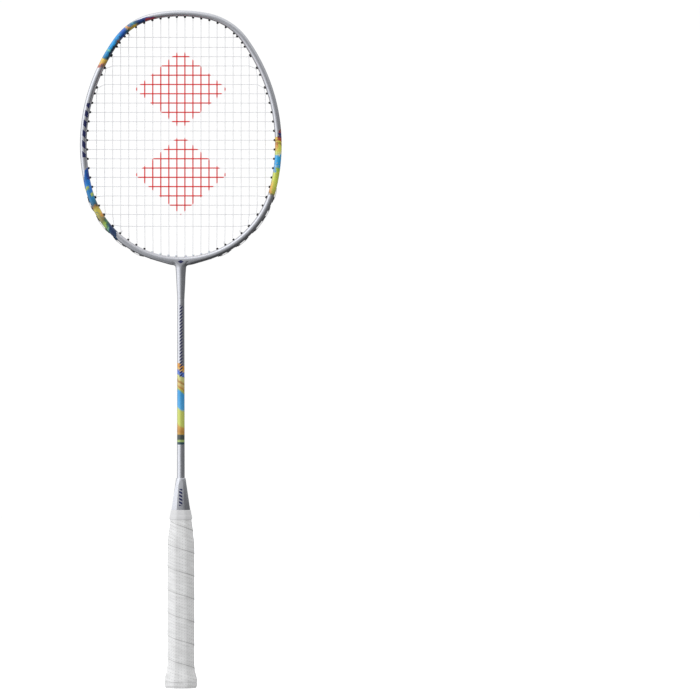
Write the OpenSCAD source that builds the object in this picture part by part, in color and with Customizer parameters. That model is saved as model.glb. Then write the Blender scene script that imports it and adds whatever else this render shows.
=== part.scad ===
// Badminton racket, strung, standing on its butt end with the string bed in the XZ plane.
// The origin is the centre of the butt end's flat face and +Z runs up the shaft to the crown.

/* [Head] */
// Length of the whole racket, butt end to crown
racket_l = 675; // [665:1:680]
// Radius of the crown arc, on the outer outline
crown_r = 137; // [130:1:145]
// Heading at which the crown arc ends, in degrees from the top
crown_a = 11.5; // [10:0.5:13]
// Radius of the shoulder arcs
shoulder_r = 64; // [62:1:67]
// Heading at which the shoulder arcs end
shoulder_a = 54.5; // [53:0.5:56]
// Radius of the long side arcs
side_r = 182; // [178:1:186]
// Heading at which the side arcs end and the throat arc begins
side_a = 104; // [103:0.5:105]
// Width of the head tube in the plane of the strings
tube_w = 6.4; // [6.2:0.1:6.8]
// Depth of the head tube across the strings
tube_d = 10.4; // [10:0.1:11]
// Wall of the hollow head tube
tube_wall = 1; // [0.8:0.1:1.1]
// Width of the string groove round the outside of the tube
groove_w = 3.6; // [3.4:0.1:3.8]
// Depth of the string groove
groove_deep = 1.4; // [1.3:0.1:1.5]

/* [Strings] */
// Diameter of the string
string_d = 0.7; // [0.65:0.01:0.7]
// Distance between neighbouring main strings
main_pitch = 8; // [7.9:0.05:8.1]
// Distance between neighbouring cross strings
cross_pitch = 9.25; // [9.15:0.05:9.3]
// Height of the middle cross string
cross_mid_z = 555; // [553:1:557]
// Extra distance that the top cross string stands off
cross_top_extra = 0.7; // [0:0.1:1]
// Extra distance that the bottom cross string stands off
cross_low_extra = 2.5; // [1.5:0.1:3]

/* [Throat and shaft] */
// Diameter of the shaft where it enters the throat sleeve
shaft_top_d = 7.2; // [7:0.1:7.4]
// Diameter of the shaft where it enters the cone cap
shaft_low_d = 7.6; // [7.5:0.1:7.8]
// Bore of the hollow shaft
shaft_bore_d = 4.6; // [4.2:0.1:4.8]
// Height at which the throat sleeve begins
sleeve_z = 388; // [384:1:392]
// Diameter of the throat sleeve where it meets the head
sleeve_top_d = 10.6; // [10:0.1:11]
// Fillet between the sleeve and the head tube
throat_fillet = 10; // [8:0.5:11]

/* [Handle] */
// Width of the wrapped handle, seen square to the strings
grip_w = 27.5; // [26:0.5:29]
// Depth of the wrapped handle, seen along the strings
grip_d = 24.5; // [23.5:0.5:25.5]
// Thickness of the grip tape
grip_t = 1.8; // [1.6:0.1:2]
// Width of the flared butt
butt_w = 33.2; // [32:0.1:35]
// Height at which the flare has run out
flare_z = 21; // [19:1:24]
// Height at which the handle begins to narrow
neck_z = 143; // [138:1:146]
// Height of the shoulder where the cone cap sits
cap_z = 177.5; // [174:0.5:178]
// Length of the cone cap
cap_l = 32; // [31:0.5:35]

/* [Hidden] */
$fn = 64;
eps = 0.01;
silver = [0.72, 0.74, 0.78];
black = [0.05, 0.05, 0.06];
cream = [0.92, 0.92, 0.90];

// ---- The outer outline: four tangent arcs a side, by heading from the top, in degrees ----
head_a = [0, crown_a, shoulder_a, side_a, 180];
throat_r = (crown_r * sin(crown_a) + shoulder_r * (sin(shoulder_a) - sin(crown_a))
            + side_r * (sin(side_a) - sin(shoulder_a))) / sin(side_a);
head_r = [crown_r, shoulder_r, side_r, throat_r];
last_arc = len(head_r) - 1;
// Centre of arc i, as [x, z]
function centre(i) = i == 0 ? [0, racket_l - crown_r]
    : centre(i - 1) + (head_r[i - 1] - head_r[i]) * [sin(head_a[i]), cos(head_a[i])];
function arc_at(a, i = 0) = i == last_arc || a <= head_a[i + 1] ? i : arc_at(a, i + 1);
// Point on the right half at heading a, w inside the outer outline, as [x, z]
function on_head(a, w) = centre(arc_at(a)) + (head_r[arc_at(a)] - w) * [sin(a), cos(a)];
// Heading at which the line w inside the outline crosses a given x on the upper half, or a given z
function upper_heading(x, w, i = 0) =
    let (a = asin((x - centre(i)[0]) / (head_r[i] - w)))
    i == last_arc || a <= head_a[i + 1] ? a : upper_heading(x, w, i + 1);
function lower_heading(x, w) = 180 - asin(x / (throat_r - w));
function side_heading(z, w, i = 0) =
    let (c = (z - centre(i)[1]) / (head_r[i] - w), a = acos(max(-1, min(1, c))))
    i == last_arc || a <= head_a[i + 1] ? a : side_heading(z, w, i + 1);
throat_z = centre(last_arc)[1];

// ---- Grommets and the string plan, on the right half; the left half mirrors it ----
barrel_r = 1.4;
bore_r = 0.75;
shared_barrel_r = 1.75;
shared_bore_r = 1.05;
flange_r = 2;
shared_flange_r = 2.4;
flange_t = 0.5;
seat_w = groove_deep - flange_t;          // outer face of a flange, from the outline
lip = 1.6;                                // how far a barrel stands out inside the head
mouth_w = tube_w + lip;
string_r = string_d / 2;
bed_y = string_r + 0.01;                  // main strings lie at +bed_y and cross strings at -bed_y
bend_w = mouth_w + string_r + 0.05;       // where a string bends as it leaves its barrel
loop_w = seat_w - string_r - 0.02;        // where a string lies in the groove
half_mains = 11;
crosses = 21;
mid_cross = (crosses - 1) / 2;
function main_x(k) = main_pitch * (k + 0.5);
function cross_z(j) = cross_mid_z + cross_pitch * (mid_cross - j)
    + (j == 0 ? cross_top_extra : 0) - (j == crosses - 1 ? cross_low_extra : 0);
// Pairs [main, cross] whose ends share one hole
top_shared = [[9, 3], [10, 5]];
low_shared = [[8, 20], [9, 19], [10, 17]];
function partner(key, pairs, col) =
    let (hit = [for (p = pairs) if (p[col] == key) p[1 - col]]) len(hit) == 0 ? -1 : hit[0];
function mean(a, b) = (a + b) / 2;
// Heading of a main string's hole at the top or the bottom, and of a cross string's hole
function main_top_a(k) = let (a = upper_heading(main_x(k), mouth_w), j = partner(k, top_shared, 0))
    j < 0 ? a : mean(a, side_heading(cross_z(j), mouth_w));
function main_low_a(k) = let (a = lower_heading(main_x(k), mouth_w), j = partner(k, low_shared, 0))
    j < 0 ? a : mean(a, side_heading(cross_z(j), mouth_w));
function cross_a(j) =
    let (t = partner(j, top_shared, 1), b = partner(j, low_shared, 1))
    t >= 0 ? main_top_a(t) : b >= 0 ? main_low_a(b) : side_heading(cross_z(j), mouth_w);
// Barrels beside the shaft fan outwards, so that they come out clear of the throat sleeve
throat_fan = [2.8, 1.2, 0.4];
function exit_a(a) = let (from_mid = (180 - a) * PI / 180 * (throat_r - mouth_w),
        k = round(from_mid / main_pitch - 0.5))
    a > 150 && k < len(throat_fan) ? a - throat_fan[k] : a;

// ---- Handle sections: an octagon, wider than deep, cut at 45 degrees ----
depth_cut = grip_w - grip_d;
core_w = grip_w - 2 * grip_t;
neck_w = 19.5;                              // width of the wrapped handle under the cap
butt_rim = 5;                             // height of the butt cap's rim
cap_low_w = 18.6;
cap_top_d = 9.8;
boss_d = 11;                              // round boss of the wooden core inside the cone cap
boss_l = 12;
core_bore_d = 10;
shaft_end_z = 96;                         // lower end of the shaft, inside the wooden core
shaft_slip = 0.02;
spigot_d = 6.4;
spigot_top_z = 414;
pin_d = 1.6;
pin_z = 128;
badge_d = 16;
badge_t = 0.8;
function octagon(w, d) = let (c = 0.28 * w)
    [[w / 2, d / 2 - c], [w / 2 - c, d / 2], [c - w / 2, d / 2], [-w / 2, d / 2 - c],
     [-w / 2, c - d / 2], [c - w / 2, -d / 2], [w / 2 - c, -d / 2], [w / 2, c - d / 2]];

// A tapered octagonal bar through stations [z, width], as one closed skin
module octagon_bar(stations) {
    n = len(stations);
    rings = [for (s = stations) for (p = octagon(s[1], s[1] - depth_cut)) [p[0], p[1], s[0]]];
    sides = [for (i = [0 : n - 2]) for (j = [0 : 7])
        [8 * i + j, 8 * i + 8 + j, 8 * i + 8 + (j + 1) % 8, 8 * i + (j + 1) % 8]];
    polyhedron(rings, concat([[for (j = [0 : 7]) j]], sides,
        [[for (j = [7 : -1 : 0]) 8 * (n - 1) + j]]));
}

// ---- Head ----
// Outer shape of the tube's section, its x running outwards from the outline
module tube_outer(grow) {
    translate([-tube_w / 2, 0]) intersection() {
        circle(d = tube_d + 2 * grow);
        square([tube_w + 2 * grow, tube_d + 2 * grow], center = true);
    }
}
// Hollow inside the section: the wall is thicker behind the string groove
hollow_w = tube_w - groove_deep - 2 * tube_wall;
module tube_hollow(grow) {
    translate([-tube_w / 2, 0]) intersection() {
        circle(d = tube_d - 2 * tube_wall + 2 * grow);
        translate([tube_wall - tube_w / 2 - grow, -tube_d / 2]) square([hollow_w + 2 * grow, tube_d]);
    }
}
module groove_section(grow) {
    w = groove_w + 2 * grow;
    translate([-groove_deep - grow, -w / 2]) square([groove_deep + 4, w]);
}
// Turns a section round an arc of the outline, between two headings
module head_arc(i, from, to) {
    rotate([90, 0, 0]) translate(centre(i)) rotate(90 - to)
        rotate_extrude(angle = to - from) translate([head_r[i], 0]) children();
}
// Round the whole outline: its first child is turned along the arcs, which stop just short of each
// other, and its second, a little larger, bridges the joints. The throat is open below low_stop
joint_gap = 0.1;
joint_half = 0.3;
joint_grow = 0.03;
module round_head(low_stop = 180) {
    head_arc(0, joint_gap - crown_a, crown_a - joint_gap) children(0);
    for (side = [0, 1]) mirror([side, 0, 0]) {
        for (i = [1 : last_arc - 1]) head_arc(i, head_a[i] + joint_gap, head_a[i + 1] - joint_gap) children(0);
        for (i = [1 : last_arc]) head_arc(i, head_a[i] - joint_half, head_a[i] + joint_half) children(1);
        if (low_stop < 180) head_arc(last_arc, side_a + joint_gap, low_stop) children(0);
    }
    if (low_stop == 180) head_arc(last_arc, side_a + joint_gap, 360 - side_a - joint_gap) children(0);
}
module hoop_outer() {
    round_head() {
        tube_outer(0);
        tube_outer(joint_grow);
    }
}
module hoop_hollow() {
    round_head() {
        tube_hollow(0);
        tube_hollow(joint_grow);
    }
}
sleeve_half_a = 3.6;                      // half of the arc over which the sleeve fills the groove
module hoop_groove() {
    round_head(180 - sleeve_half_a) {
        groove_section(0);
        groove_section(joint_grow);
    }
}
// A round bar from one point of the string plane to another
module bar(p, q, r) {
    d = q - p;
    translate([p[0], 0, p[1]]) rotate([0, atan2(d[0], d[1]), 0]) cylinder(h = norm(d), r = r);
}
// Every hole on the right half, as [heading, shared]
right_holes = concat(
    [for (k = [0 : half_mains - 1]) [main_top_a(k), partner(k, top_shared, 0) >= 0]],
    [for (k = [0 : half_mains - 1]) [main_low_a(k), partner(k, low_shared, 0) >= 0]],
    [for (j = [0 : crosses - 1])
        if (partner(j, top_shared, 1) < 0 && partner(j, low_shared, 1) < 0) [cross_a(j), false]]);
module hole(h) {
    bar(on_head(exit_a(h[0]), -1), on_head(h[0], mouth_w), h[1] ? shared_barrel_r : barrel_r);
}
module grommet_holes(holes) {
    for (side = [0, 1]) mirror([side, 0, 0]) for (h = holes) hole(h);
}
fillet_x = sleeve_top_d / 2 + throat_fillet;
fillet_bite = 0.2;                        // how far the fillets run into the tube
fillet_z = throat_z - sqrt(pow(throat_r + throat_fillet - fillet_bite, 2) - pow(fillet_x, 2));
tube_base_z = throat_z - throat_r + tube_w / 2;
web_d = 8;
module throat_web() {
    rotate([90, 0, 0]) translate([0, 0, -web_d / 2]) linear_extrude(web_d) difference() {
        translate([-fillet_x, fillet_z]) square([2 * fillet_x, tube_base_z - fillet_z]);
        for (side = [-1, 1]) translate([side * fillet_x, fillet_z]) circle(r = throat_fillet);
    }
}
module head_frame() {
    color(silver) difference() {
        union() {
            hoop_outer();
            throat_web();
            translate([0, 0, sleeve_z])
                cylinder(h = fillet_z - sleeve_z + 4, d1 = shaft_top_d + 0.2, d2 = sleeve_top_d);
        }
        hoop_hollow();
        hoop_groove();
        grommet_holes(right_holes);
        translate([0, 0, sleeve_z - 1]) cylinder(h = spigot_top_z - sleeve_z + 1, d = spigot_d + 2 * shaft_slip);
        translate([0, 0, spigot_top_z - 1]) cylinder(h = tube_base_z - spigot_top_z + 1, d = shaft_bore_d);
    }
}
// The T-joint: a stem down the shaft's bore and two arms inside the hollow of the head tube
tee_half_a = 10;
tee_slip = 0.02;
module t_joint() {
    color("dimgray") difference() {
        union() {
            head_arc(last_arc, 180 - tee_half_a, 180 + tee_half_a) tube_hollow(-tee_slip);
            translate([0, 0, sleeve_z + 4])
                cylinder(h = tube_base_z - sleeve_z - 4, d = shaft_bore_d - 2 * tee_slip);
        }
        grommet_holes([for (k = [0 : 1]) [main_low_a(k), false]]);
    }
}

// ---- Grommets ----
module grommet(a, shared = false) {
    p = on_head(exit_a(a), seat_w);
    q = on_head(a, mouth_w);
    along = (q - p) / norm(q - p);
    difference() {
        union() {
            bar(p, q, (shared ? shared_barrel_r : barrel_r) - 0.05);
            bar(p, p + flange_t * along, shared ? shared_flange_r : flange_r);
        }
        bar(p - along, q + along, shared ? shared_bore_r : bore_r);
    }
}
module both_sides() {
    for (side = [0, 1]) mirror([side, 0, 0]) children();
}
module crown_grommets() {
    color(black) both_sides() for (k = [0 : half_mains - 1])
        if (partner(k, top_shared, 0) < 0) grommet(main_top_a(k));
}
module side_grommets() {
    for (j = [0 : crosses - 1])
        if (partner(j, top_shared, 1) < 0 && partner(j, low_shared, 1) < 0) grommet(cross_a(j));
}
module right_grommets() { color(black) side_grommets(); }
module left_grommets() { color(black) mirror([1, 0, 0]) side_grommets(); }
throat_mains = 4;
module lower_grommets() {
    color(black) both_sides() for (k = [throat_mains : half_mains - 1])
        if (partner(k, low_shared, 0) < 0) grommet(main_low_a(k));
}
module throat_grommets() {
    color("lightgray") both_sides() for (k = [0 : throat_mains - 1]) grommet(main_low_a(k));
}
module shared_grommets() {
    for (p = top_shared) grommet(main_top_a(p[0]), true);
    for (p = low_shared) grommet(main_low_a(p[0]), true);
}
module right_shared_grommets() { color(black) shared_grommets(); }
module left_shared_grommets() { color(black) mirror([1, 0, 0]) shared_grommets(); }

// ---- Strings: each one whole along its route, swept as one skin ----
string_sides = 8;
loop_step = 3.5;                          // longest stretch of groove between two rings, in degrees
function flip(p) = [-p[0], p[1]];
// The groove between two holes, from heading a to heading b, both ends left out
function groove_points(a, b) = let (n = ceil(abs(b - a) / loop_step))
    [for (i = [1 : n - 1]) on_head(a + (b - a) * i / n, loop_w)];
function way_out(a) = [on_head(a, bend_w), on_head(exit_a(a), loop_w)];
function backwards(list) = [for (i = [len(list) - 1 : -1 : 0]) list[i]];
function pass(a, b) = concat(backwards(way_out(a)), way_out(b));
// Right half of the main string, from beside the crown's middle down main 0, up main 1, and so on
function half_main(k = 0) = k == half_mains ? [] : let (down = k % 2 == 0,
        from_a = down ? main_top_a(k) : main_low_a(k), to_a = down ? main_low_a(k) : main_top_a(k),
        next_a = k == half_mains - 1 ? to_a : down ? main_low_a(k + 1) : main_top_a(k + 1))
    concat(pass(from_a, to_a), groove_points(exit_a(to_a), exit_a(next_a)), half_main(k + 1));
main_route = concat(backwards([for (p = half_main()) flip(p)]), half_main());
// Cross string, from the top one down, going right first
function all_crosses(j = 0) = j == crosses ? [] : let (s = j % 2 == 0 ? 1 : -1,
        run = concat([for (p = backwards(way_out(cross_a(j)))) [-s * p[0], p[1]]],
                     [for (p = way_out(cross_a(j))) [s * p[0], p[1]]]),
        loop = j == crosses - 1 ? [] : [for (p = groove_points(cross_a(j), cross_a(j + 1))) [s * p[0], p[1]]])
    concat(run, loop, all_crosses(j + 1));
cross_route = all_crosses();
function unit(v) = v / norm(v);
// Ring of a tube at point i of a flat route: it stands in the plane that halves the bend
function route_ring(route, i, r, y) = let (n = len(route),
        before = i == 0 ? unit(route[1] - route[0]) : unit(route[i] - route[i - 1]),
        after = i == n - 1 ? before : unit(route[i + 1] - route[i]),
        turn = unit([-(before + after)[1], (before + after)[0]]),
        stretch = 1 / max(0.5, turn * [-before[1], before[0]]))
    [for (s = [0 : string_sides - 1]) let (b = 360 * (s + 0.5) / string_sides,
        side = turn * (r * stretch * cos(b))) [route[i][0] + side[0], y + r * sin(b), route[i][1] + side[1]]];
module flat_tube(route, r, y) {
    n = len(route);
    m = string_sides;
    rings = [for (i = [0 : n - 1]) each route_ring(route, i, r, y)];
    skin = [for (i = [0 : n - 2]) for (s = [0 : m - 1])
        each [[m * i + s, m * i + (s + 1) % m, m * i + m + (s + 1) % m],
              [m * i + s, m * i + m + (s + 1) % m, m * i + m + s]]];
    polyhedron(rings, concat([[for (s = [m - 1 : -1 : 0]) s]], skin,
        [[for (s = [0 : m - 1]) m * (n - 1) + s]]));
}
module main_string() { color("white") flat_tube(main_route, string_r, bed_y); }
module cross_string() { color("white") flat_tube(cross_route, string_r, -bed_y); }
// A tie-off knot: a ring of string round a barrel's mouth, beside the string that it holds
knot_r = 0.55;
module knot(a, y) {
    p = on_head(a, mouth_w + 0.9);
    translate([p[0], y, p[1]]) rotate([0, a, 0]) rotate_extrude() translate([0.95, 0]) circle(r = knot_r);
}
module main_knots() { color("white") both_sides() knot(main_low_a(7), 0); }
module cross_knots() {
    color("white") {
        mirror([1, 0, 0]) knot(main_top_a(6), 0);
        knot(main_low_a(5), 0);
    }
}

// ---- Shaft and handle ----
module shaft_bar(extra = 0) {
    translate([0, 0, shaft_end_z])
        cylinder(h = sleeve_z - shaft_end_z, d1 = shaft_low_d + 2 * extra, d2 = shaft_top_d + 2 * extra);
}
module pin_bar(extra = 0) {
    l = core_w - 3;
    translate([-l / 2 - extra, 0, pin_z]) rotate([0, 90, 0]) cylinder(h = l + 2 * extra, d = pin_d + 2 * extra);
}
module shaft() {
    color(silver) difference() {
        union() {
            shaft_bar();
            translate([0, 0, sleeve_z - 1]) cylinder(h = spigot_top_z - sleeve_z + 1, d = spigot_d);
        }
        translate([0, 0, shaft_end_z - 1]) cylinder(h = racket_l, d = shaft_bore_d);
        pin_bar(0.01);
    }
}
cap_open_d = boss_d + 0.1;
module cone_cap() {
    color(silver) difference() {
        intersection() {
            octagon_bar([[cap_z, cap_low_w], [cap_z + cap_l, cap_low_w - 1.5]]);
            translate([0, 0, cap_z]) cylinder(h = cap_l, d1 = cap_low_w + 1.6, d2 = cap_top_d);
        }
        translate([0, 0, cap_z - 1]) cylinder(h = boss_l + 1.2, d = cap_open_d);
        shaft_bar(shaft_slip);
    }
}
core_stations = [[butt_rim, butt_w - 2 * grip_t], [9, butt_w - 2 * grip_t],
    [flare_z, core_w], [neck_z, core_w], [cap_z, neck_w - 2 * grip_t]];
module handle_core() {
    color("burlywood") difference() {
        union() {
            octagon_bar(core_stations);
            translate([0, 0, cap_z - 1]) cylinder(h = boss_l + 1, d = boss_d);
        }
        shaft_bar(shaft_slip);
        translate([0, 0, butt_rim - 1]) cylinder(h = shaft_end_z - 10 - butt_rim + 1, d = core_bore_d);
        pin_bar(0.01);
    }
}
module handle_pin() { color("gray") pin_bar(); }
module butt_cap() {
    color(cream) difference() {
        union() {
            octagon_bar([[0, butt_w - 3.5], [1, butt_w - 0.8], [2.5, butt_w], [butt_rim, butt_w]]);
            translate([0, 0, butt_rim - 1]) cylinder(h = 11, d = core_bore_d - 0.1);
        }
        translate([0, 0, -1]) cylinder(h = 1 + badge_t, d = badge_d + 0.1);
    }
}
module butt_badge() { color(silver) cylinder(h = badge_t, d = badge_d); }
tape_top_z = 169;
module grip_tape() {
    top_w = neck_w + (grip_w - neck_w) * (cap_z - tape_top_z) / (cap_z - neck_z);
    color(cream) difference() {
        octagon_bar([[butt_rim, butt_w], [9, butt_w], [flare_z, grip_w], [neck_z, grip_w], [tape_top_z, top_w]]);
        intersection() {
            octagon_bar(core_stations);
            translate([0, 0, -eps]) cylinder(h = racket_l, d = 2 * butt_w);
        }
        translate([0, 0, tape_top_z - eps]) cylinder(h = 20, d = 2 * butt_w);
    }
}
module finishing_tape() {
    top_w = neck_w + (grip_w - neck_w) * (cap_z - tape_top_z) / (cap_z - neck_z);
    color("white") difference() {
        octagon_bar([[tape_top_z, top_w], [cap_z, neck_w]]);
        octagon_bar(core_stations);
    }
}

head_frame();
t_joint();
shaft();
cone_cap();
handle_core();
handle_pin();
butt_cap();
butt_badge();
grip_tape();
finishing_tape();
main_string();
cross_string();
main_knots();
cross_knots();
crown_grommets();
left_grommets();
right_grommets();
lower_grommets();
throat_grommets();
left_shared_grommets();
right_shared_grommets();
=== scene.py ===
"""A strung badminton racket: the visual pieces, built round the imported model.

Everything is in metres in the part's own frame: the origin is the centre of the butt's flat face,
+Z runs up the shaft to the crown, +X is across the head to the right and +Y points through the
string bed, away from the viewer.
"""

import logging
import math
from collections.abc import Callable, Sequence
from dataclasses import dataclass, field
from enum import Enum

import bmesh
import bpy
from mathutils import Matrix, Vector


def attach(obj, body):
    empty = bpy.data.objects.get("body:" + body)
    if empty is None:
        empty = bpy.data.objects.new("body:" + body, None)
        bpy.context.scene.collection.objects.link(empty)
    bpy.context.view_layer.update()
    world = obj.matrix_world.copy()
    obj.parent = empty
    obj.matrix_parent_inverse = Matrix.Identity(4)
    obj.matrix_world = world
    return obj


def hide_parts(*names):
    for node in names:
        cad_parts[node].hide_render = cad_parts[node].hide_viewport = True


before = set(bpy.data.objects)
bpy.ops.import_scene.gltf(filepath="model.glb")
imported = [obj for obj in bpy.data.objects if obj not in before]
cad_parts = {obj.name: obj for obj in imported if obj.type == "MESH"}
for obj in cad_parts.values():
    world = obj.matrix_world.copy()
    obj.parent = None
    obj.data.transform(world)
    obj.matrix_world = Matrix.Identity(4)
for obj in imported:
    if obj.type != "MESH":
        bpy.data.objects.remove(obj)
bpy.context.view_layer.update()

LOG = logging.getLogger("racket")
MM = 0.001
BODY = "root"
UP = Vector((0.0, 0.0, 1.0))
THROUGH = Vector((0.0, 1.0, 0.0))
FULL = 2 * math.pi  # a full turn, in radians

Tree = bpy.types.NodeTree
Node = bpy.types.Node
Socket = bpy.types.NodeSocket
Outputs = bpy.types.NodeOutputs
Material = bpy.types.Material
Piece = bpy.types.Object
BMesh, BMVert, BMEdge = bmesh.types.BMesh, bmesh.types.BMVert, bmesh.types.BMEdge
Source = Node | Socket
Colour = tuple[float, float, float, float]
Stations = tuple[tuple[float, float], ...]


# -------- Colours and shader nodes --------


def linear(code: str, alpha: float = 1.0) -> Colour:
    """Turn an sRGB hex colour into the linear values that the shader works in.

    Args:
        code: Six hex digits, such as "B9BCC6".
        alpha: The fourth value, passed through.

    Returns:
        Linear red, green and blue, and alpha.
    """
    shades = [int(code[i : i + 2], 16) / 255 for i in (0, 2, 4)]
    red, green, blue = (s / 12.92 if s <= 0.04045 else ((s + 0.055) / 1.055) ** 2.4 for s in shades)
    return (red, green, blue, alpha)


def add_node(tree: Tree, kind: str, inputs: dict | None = None) -> Node:
    """Add one node to a tree.

    Args:
        tree: The node tree to add to.
        kind: The node's type, then its operation if it has one, such as "Math ADD" for a
            ShaderNodeMath that adds. A "Mix MIX" blends colours, a "Mix" numbers.
        inputs: Socket names, socket numbers or attribute names, and the value of each, or what
            feeds it. The key "stops" fills a colour ramp from (position, colour) pairs.

    Returns:
        The new node.
    """
    kind, _, mode = kind.partition(" ")
    node = tree.nodes.new("ShaderNode" + kind)
    if kind == "Mix" and mode:
        node.data_type, node.blend_type = "RGBA", mode
    elif mode:
        node.operation = mode
    for key, value in (inputs or {}).items():
        if key == "stops":
            ramp = node.color_ramp
            while len(ramp.elements) > 1:
                ramp.elements.remove(ramp.elements[0])
            ramp.elements[0].position, ramp.elements[0].color = value[0]
            for place, colour in value[1:]:
                ramp.elements.new(place).color = colour
        elif isinstance(value, Source):
            connect(node, {key: value})
        elif isinstance(key, int) or key in node.inputs:
            node.inputs[key].default_value = value
        else:
            setattr(node, key, value)
    return node


def connect(node: Node, links: dict[int | str, Source]) -> None:
    """Link a node's inputs.

    Args:
        node: The node to link to.
        links: Socket names or numbers, and what feeds each: an output socket, or a node whose
            first live output is meant.
    """
    for key, source in links.items():
        if isinstance(source, Node):
            source = next(socket for socket in source.outputs if socket.enabled)
        node.id_data.links.new(source, node.inputs[key])


@dataclass(frozen=True)
class Finish:
    """One real finish, and how each piece of it is shaded."""

    name: str
    colour: str
    roughness: float = 0.5
    metallic: float = 0.0
    ior: float = 1.5
    coat: float = 0.0
    coat_roughness: float = 0.1
    subsurface: float = 0.0

    def start(self) -> tuple[Material, Tree, Node]:
        """Make the material with its constant values set on the shader.

        Returns:
            The material, its node tree and its Principled shader.
        """
        material = bpy.data.materials.new(self.name)
        material.use_nodes = True
        tree = material.node_tree
        shader = tree.nodes["Principled BSDF"]
        values = {
            "Base Color": linear(self.colour), "Roughness": self.roughness, "Metallic": self.metallic,
            "Coat Weight": self.coat, "Coat Roughness": self.coat_roughness,
            "Subsurface Weight": self.subsurface,
        }
        if self.metallic < 0.5:
            values["IOR"] = self.ior
        for name, value in values.items():
            shader.inputs[name].default_value = value
        material.diffuse_color = linear(self.colour)
        return material, tree, shader

    def make(self) -> Material:
        """Build the whole material; a finish with no pattern of its own adds fine wear only.

        Returns:
            The finished material.
        """
        material, tree, shader = self.start()
        self.dress(tree, shader)
        return material

    def dress(self, tree: Tree, shader: Node) -> None:
        """Add the pattern nodes: here, only small handling marks in the gloss.

        Args:
            tree: The material's node tree.
            shader: Its Principled shader.
        """
        place = add_node(tree, "TexCoord").outputs["Object"]
        smudge = add_node(tree, "TexNoise", {"Scale": 180.0, "Detail": 4.0, "Vector": place})
        gloss = add_node(
            tree, "MapRange",
            {"To Min": self.roughness * 0.8, "To Max": min(1.0, self.roughness * 1.25), "Value": smudge},
        )
        connect(shader, {"Roughness": gloss})


# -------- The head's outline and the string plan --------


@dataclass(frozen=True)
class Arc:
    """One of the tangent arcs that make half of the head's outline."""

    radius: float
    start: float
    end: float
    centre_x: float
    centre_z: float


@dataclass(frozen=True)
class Outline:
    """The outer outline of the head, by heading in degrees clockwise from the crown's middle.

    The sizes are the same as the design's, in millimetres.
    """

    racket_length: float = 675.0
    crown_radius: float = 137.0
    crown_end: float = 11.5
    shoulder_radius: float = 64.0
    shoulder_end: float = 54.5
    side_radius: float = 182.0
    side_end: float = 104.0

    def arcs(self) -> list[Arc]:
        """Work out the four arcs of the right half.

        Returns:
            The arcs from the crown to the throat, in metres and degrees.
        """
        ends = [0.0, self.crown_end, self.shoulder_end, self.side_end, 180.0]
        sines = [math.sin(math.radians(a)) for a in ends]
        radii = [self.crown_radius, self.shoulder_radius, self.side_radius]
        reach = sum(r * (sines[i + 1] - sines[i]) for i, r in enumerate(radii))
        radii.append(reach / sines[3])
        x, z = 0.0, self.racket_length - self.crown_radius
        found = []
        for i, radius in enumerate(radii):
            if i:
                turn = math.radians(ends[i])
                x += (radii[i - 1] - radius) * math.sin(turn)
                z += (radii[i - 1] - radius) * math.cos(turn)
            found.append(Arc(radius * MM, ends[i], ends[i + 1], x * MM, z * MM))
        return found

    def arc_at(self, heading: float) -> Arc:
        """Return the arc that a heading from 0 to 180 falls on."""
        for arc in self.arcs():
            if heading <= arc.end:
                return arc
        return self.arcs()[-1]

    def point(self, heading: float, inset: float, depth: float = 0.0) -> Vector:
        """Find a point by its heading.

        Args:
            heading: Degrees from the crown, from -180 to 180; negative is the left half.
            inset: Distance inside the outline, in metres.
            depth: The point's Y.

        Returns:
            The point.
        """
        side = -1.0 if heading < 0 else 1.0
        turn = math.radians(abs(heading))
        arc = self.arc_at(abs(heading))
        reach = arc.radius - inset
        return Vector(
            (side * (arc.centre_x + reach * math.sin(turn)), depth, arc.centre_z + reach * math.cos(turn)),
        )

    def outward(self, heading: float) -> Vector:
        """Return the outline's outward direction at a heading."""
        turn = math.radians(heading)
        return Vector((math.sin(turn), 0.0, math.cos(turn)))

    def locate(self, place: Vector) -> tuple[float, float]:
        """Find where a point lies beside the outline.

        Args:
            place: A point near the head tube.

        Returns:
            Its heading, negative on the left half, and its distance inside the outline.
        """
        side = -1.0 if place.x < 0 else 1.0
        best = (0.0, 1.0e9, 0.0)
        for arc in self.arcs():
            across, along = abs(place.x) - arc.centre_x, place.z - arc.centre_z
            heading = math.degrees(math.atan2(across, along)) % 360
            heading = heading - 360 if heading > 270 else heading
            miss = max(arc.start - heading, heading - arc.end, 0.0)
            if miss < best[1]:
                best = (min(max(heading, 0.0), 180.0), miss, arc.radius - math.hypot(across, along))
        return side * best[0], best[2]

    def upper_heading(self, x: float, inset: float) -> float:
        """Return the heading on the upper half where the line inside the outline crosses x."""
        for arc in self.arcs():
            ratio = (x - arc.centre_x) / (arc.radius - inset)
            heading = math.degrees(math.asin(max(-1.0, min(1.0, ratio))))
            if heading <= arc.end:
                return heading
        raise ValueError(f"no heading has x = {x}")

    def lower_heading(self, x: float, inset: float) -> float:
        """Return the heading on the throat arc where the line inside the outline crosses x."""
        return 180 - math.degrees(math.asin(x / (self.arcs()[-1].radius - inset)))

    def side_heading(self, z: float, inset: float) -> float:
        """Return the heading where the line inside the outline crosses z."""
        for arc in self.arcs():
            ratio = (z - arc.centre_z) / (arc.radius - inset)
            heading = math.degrees(math.acos(max(-1.0, min(1.0, ratio))))
            if heading <= arc.end:
                return heading
        raise ValueError(f"no heading has z = {z}")


@dataclass(frozen=True)
class Hole:
    """One grommet hole of the right half: where it opens inside and outside, and who uses it."""

    mouth: float
    exit: float
    shared: bool


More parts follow.
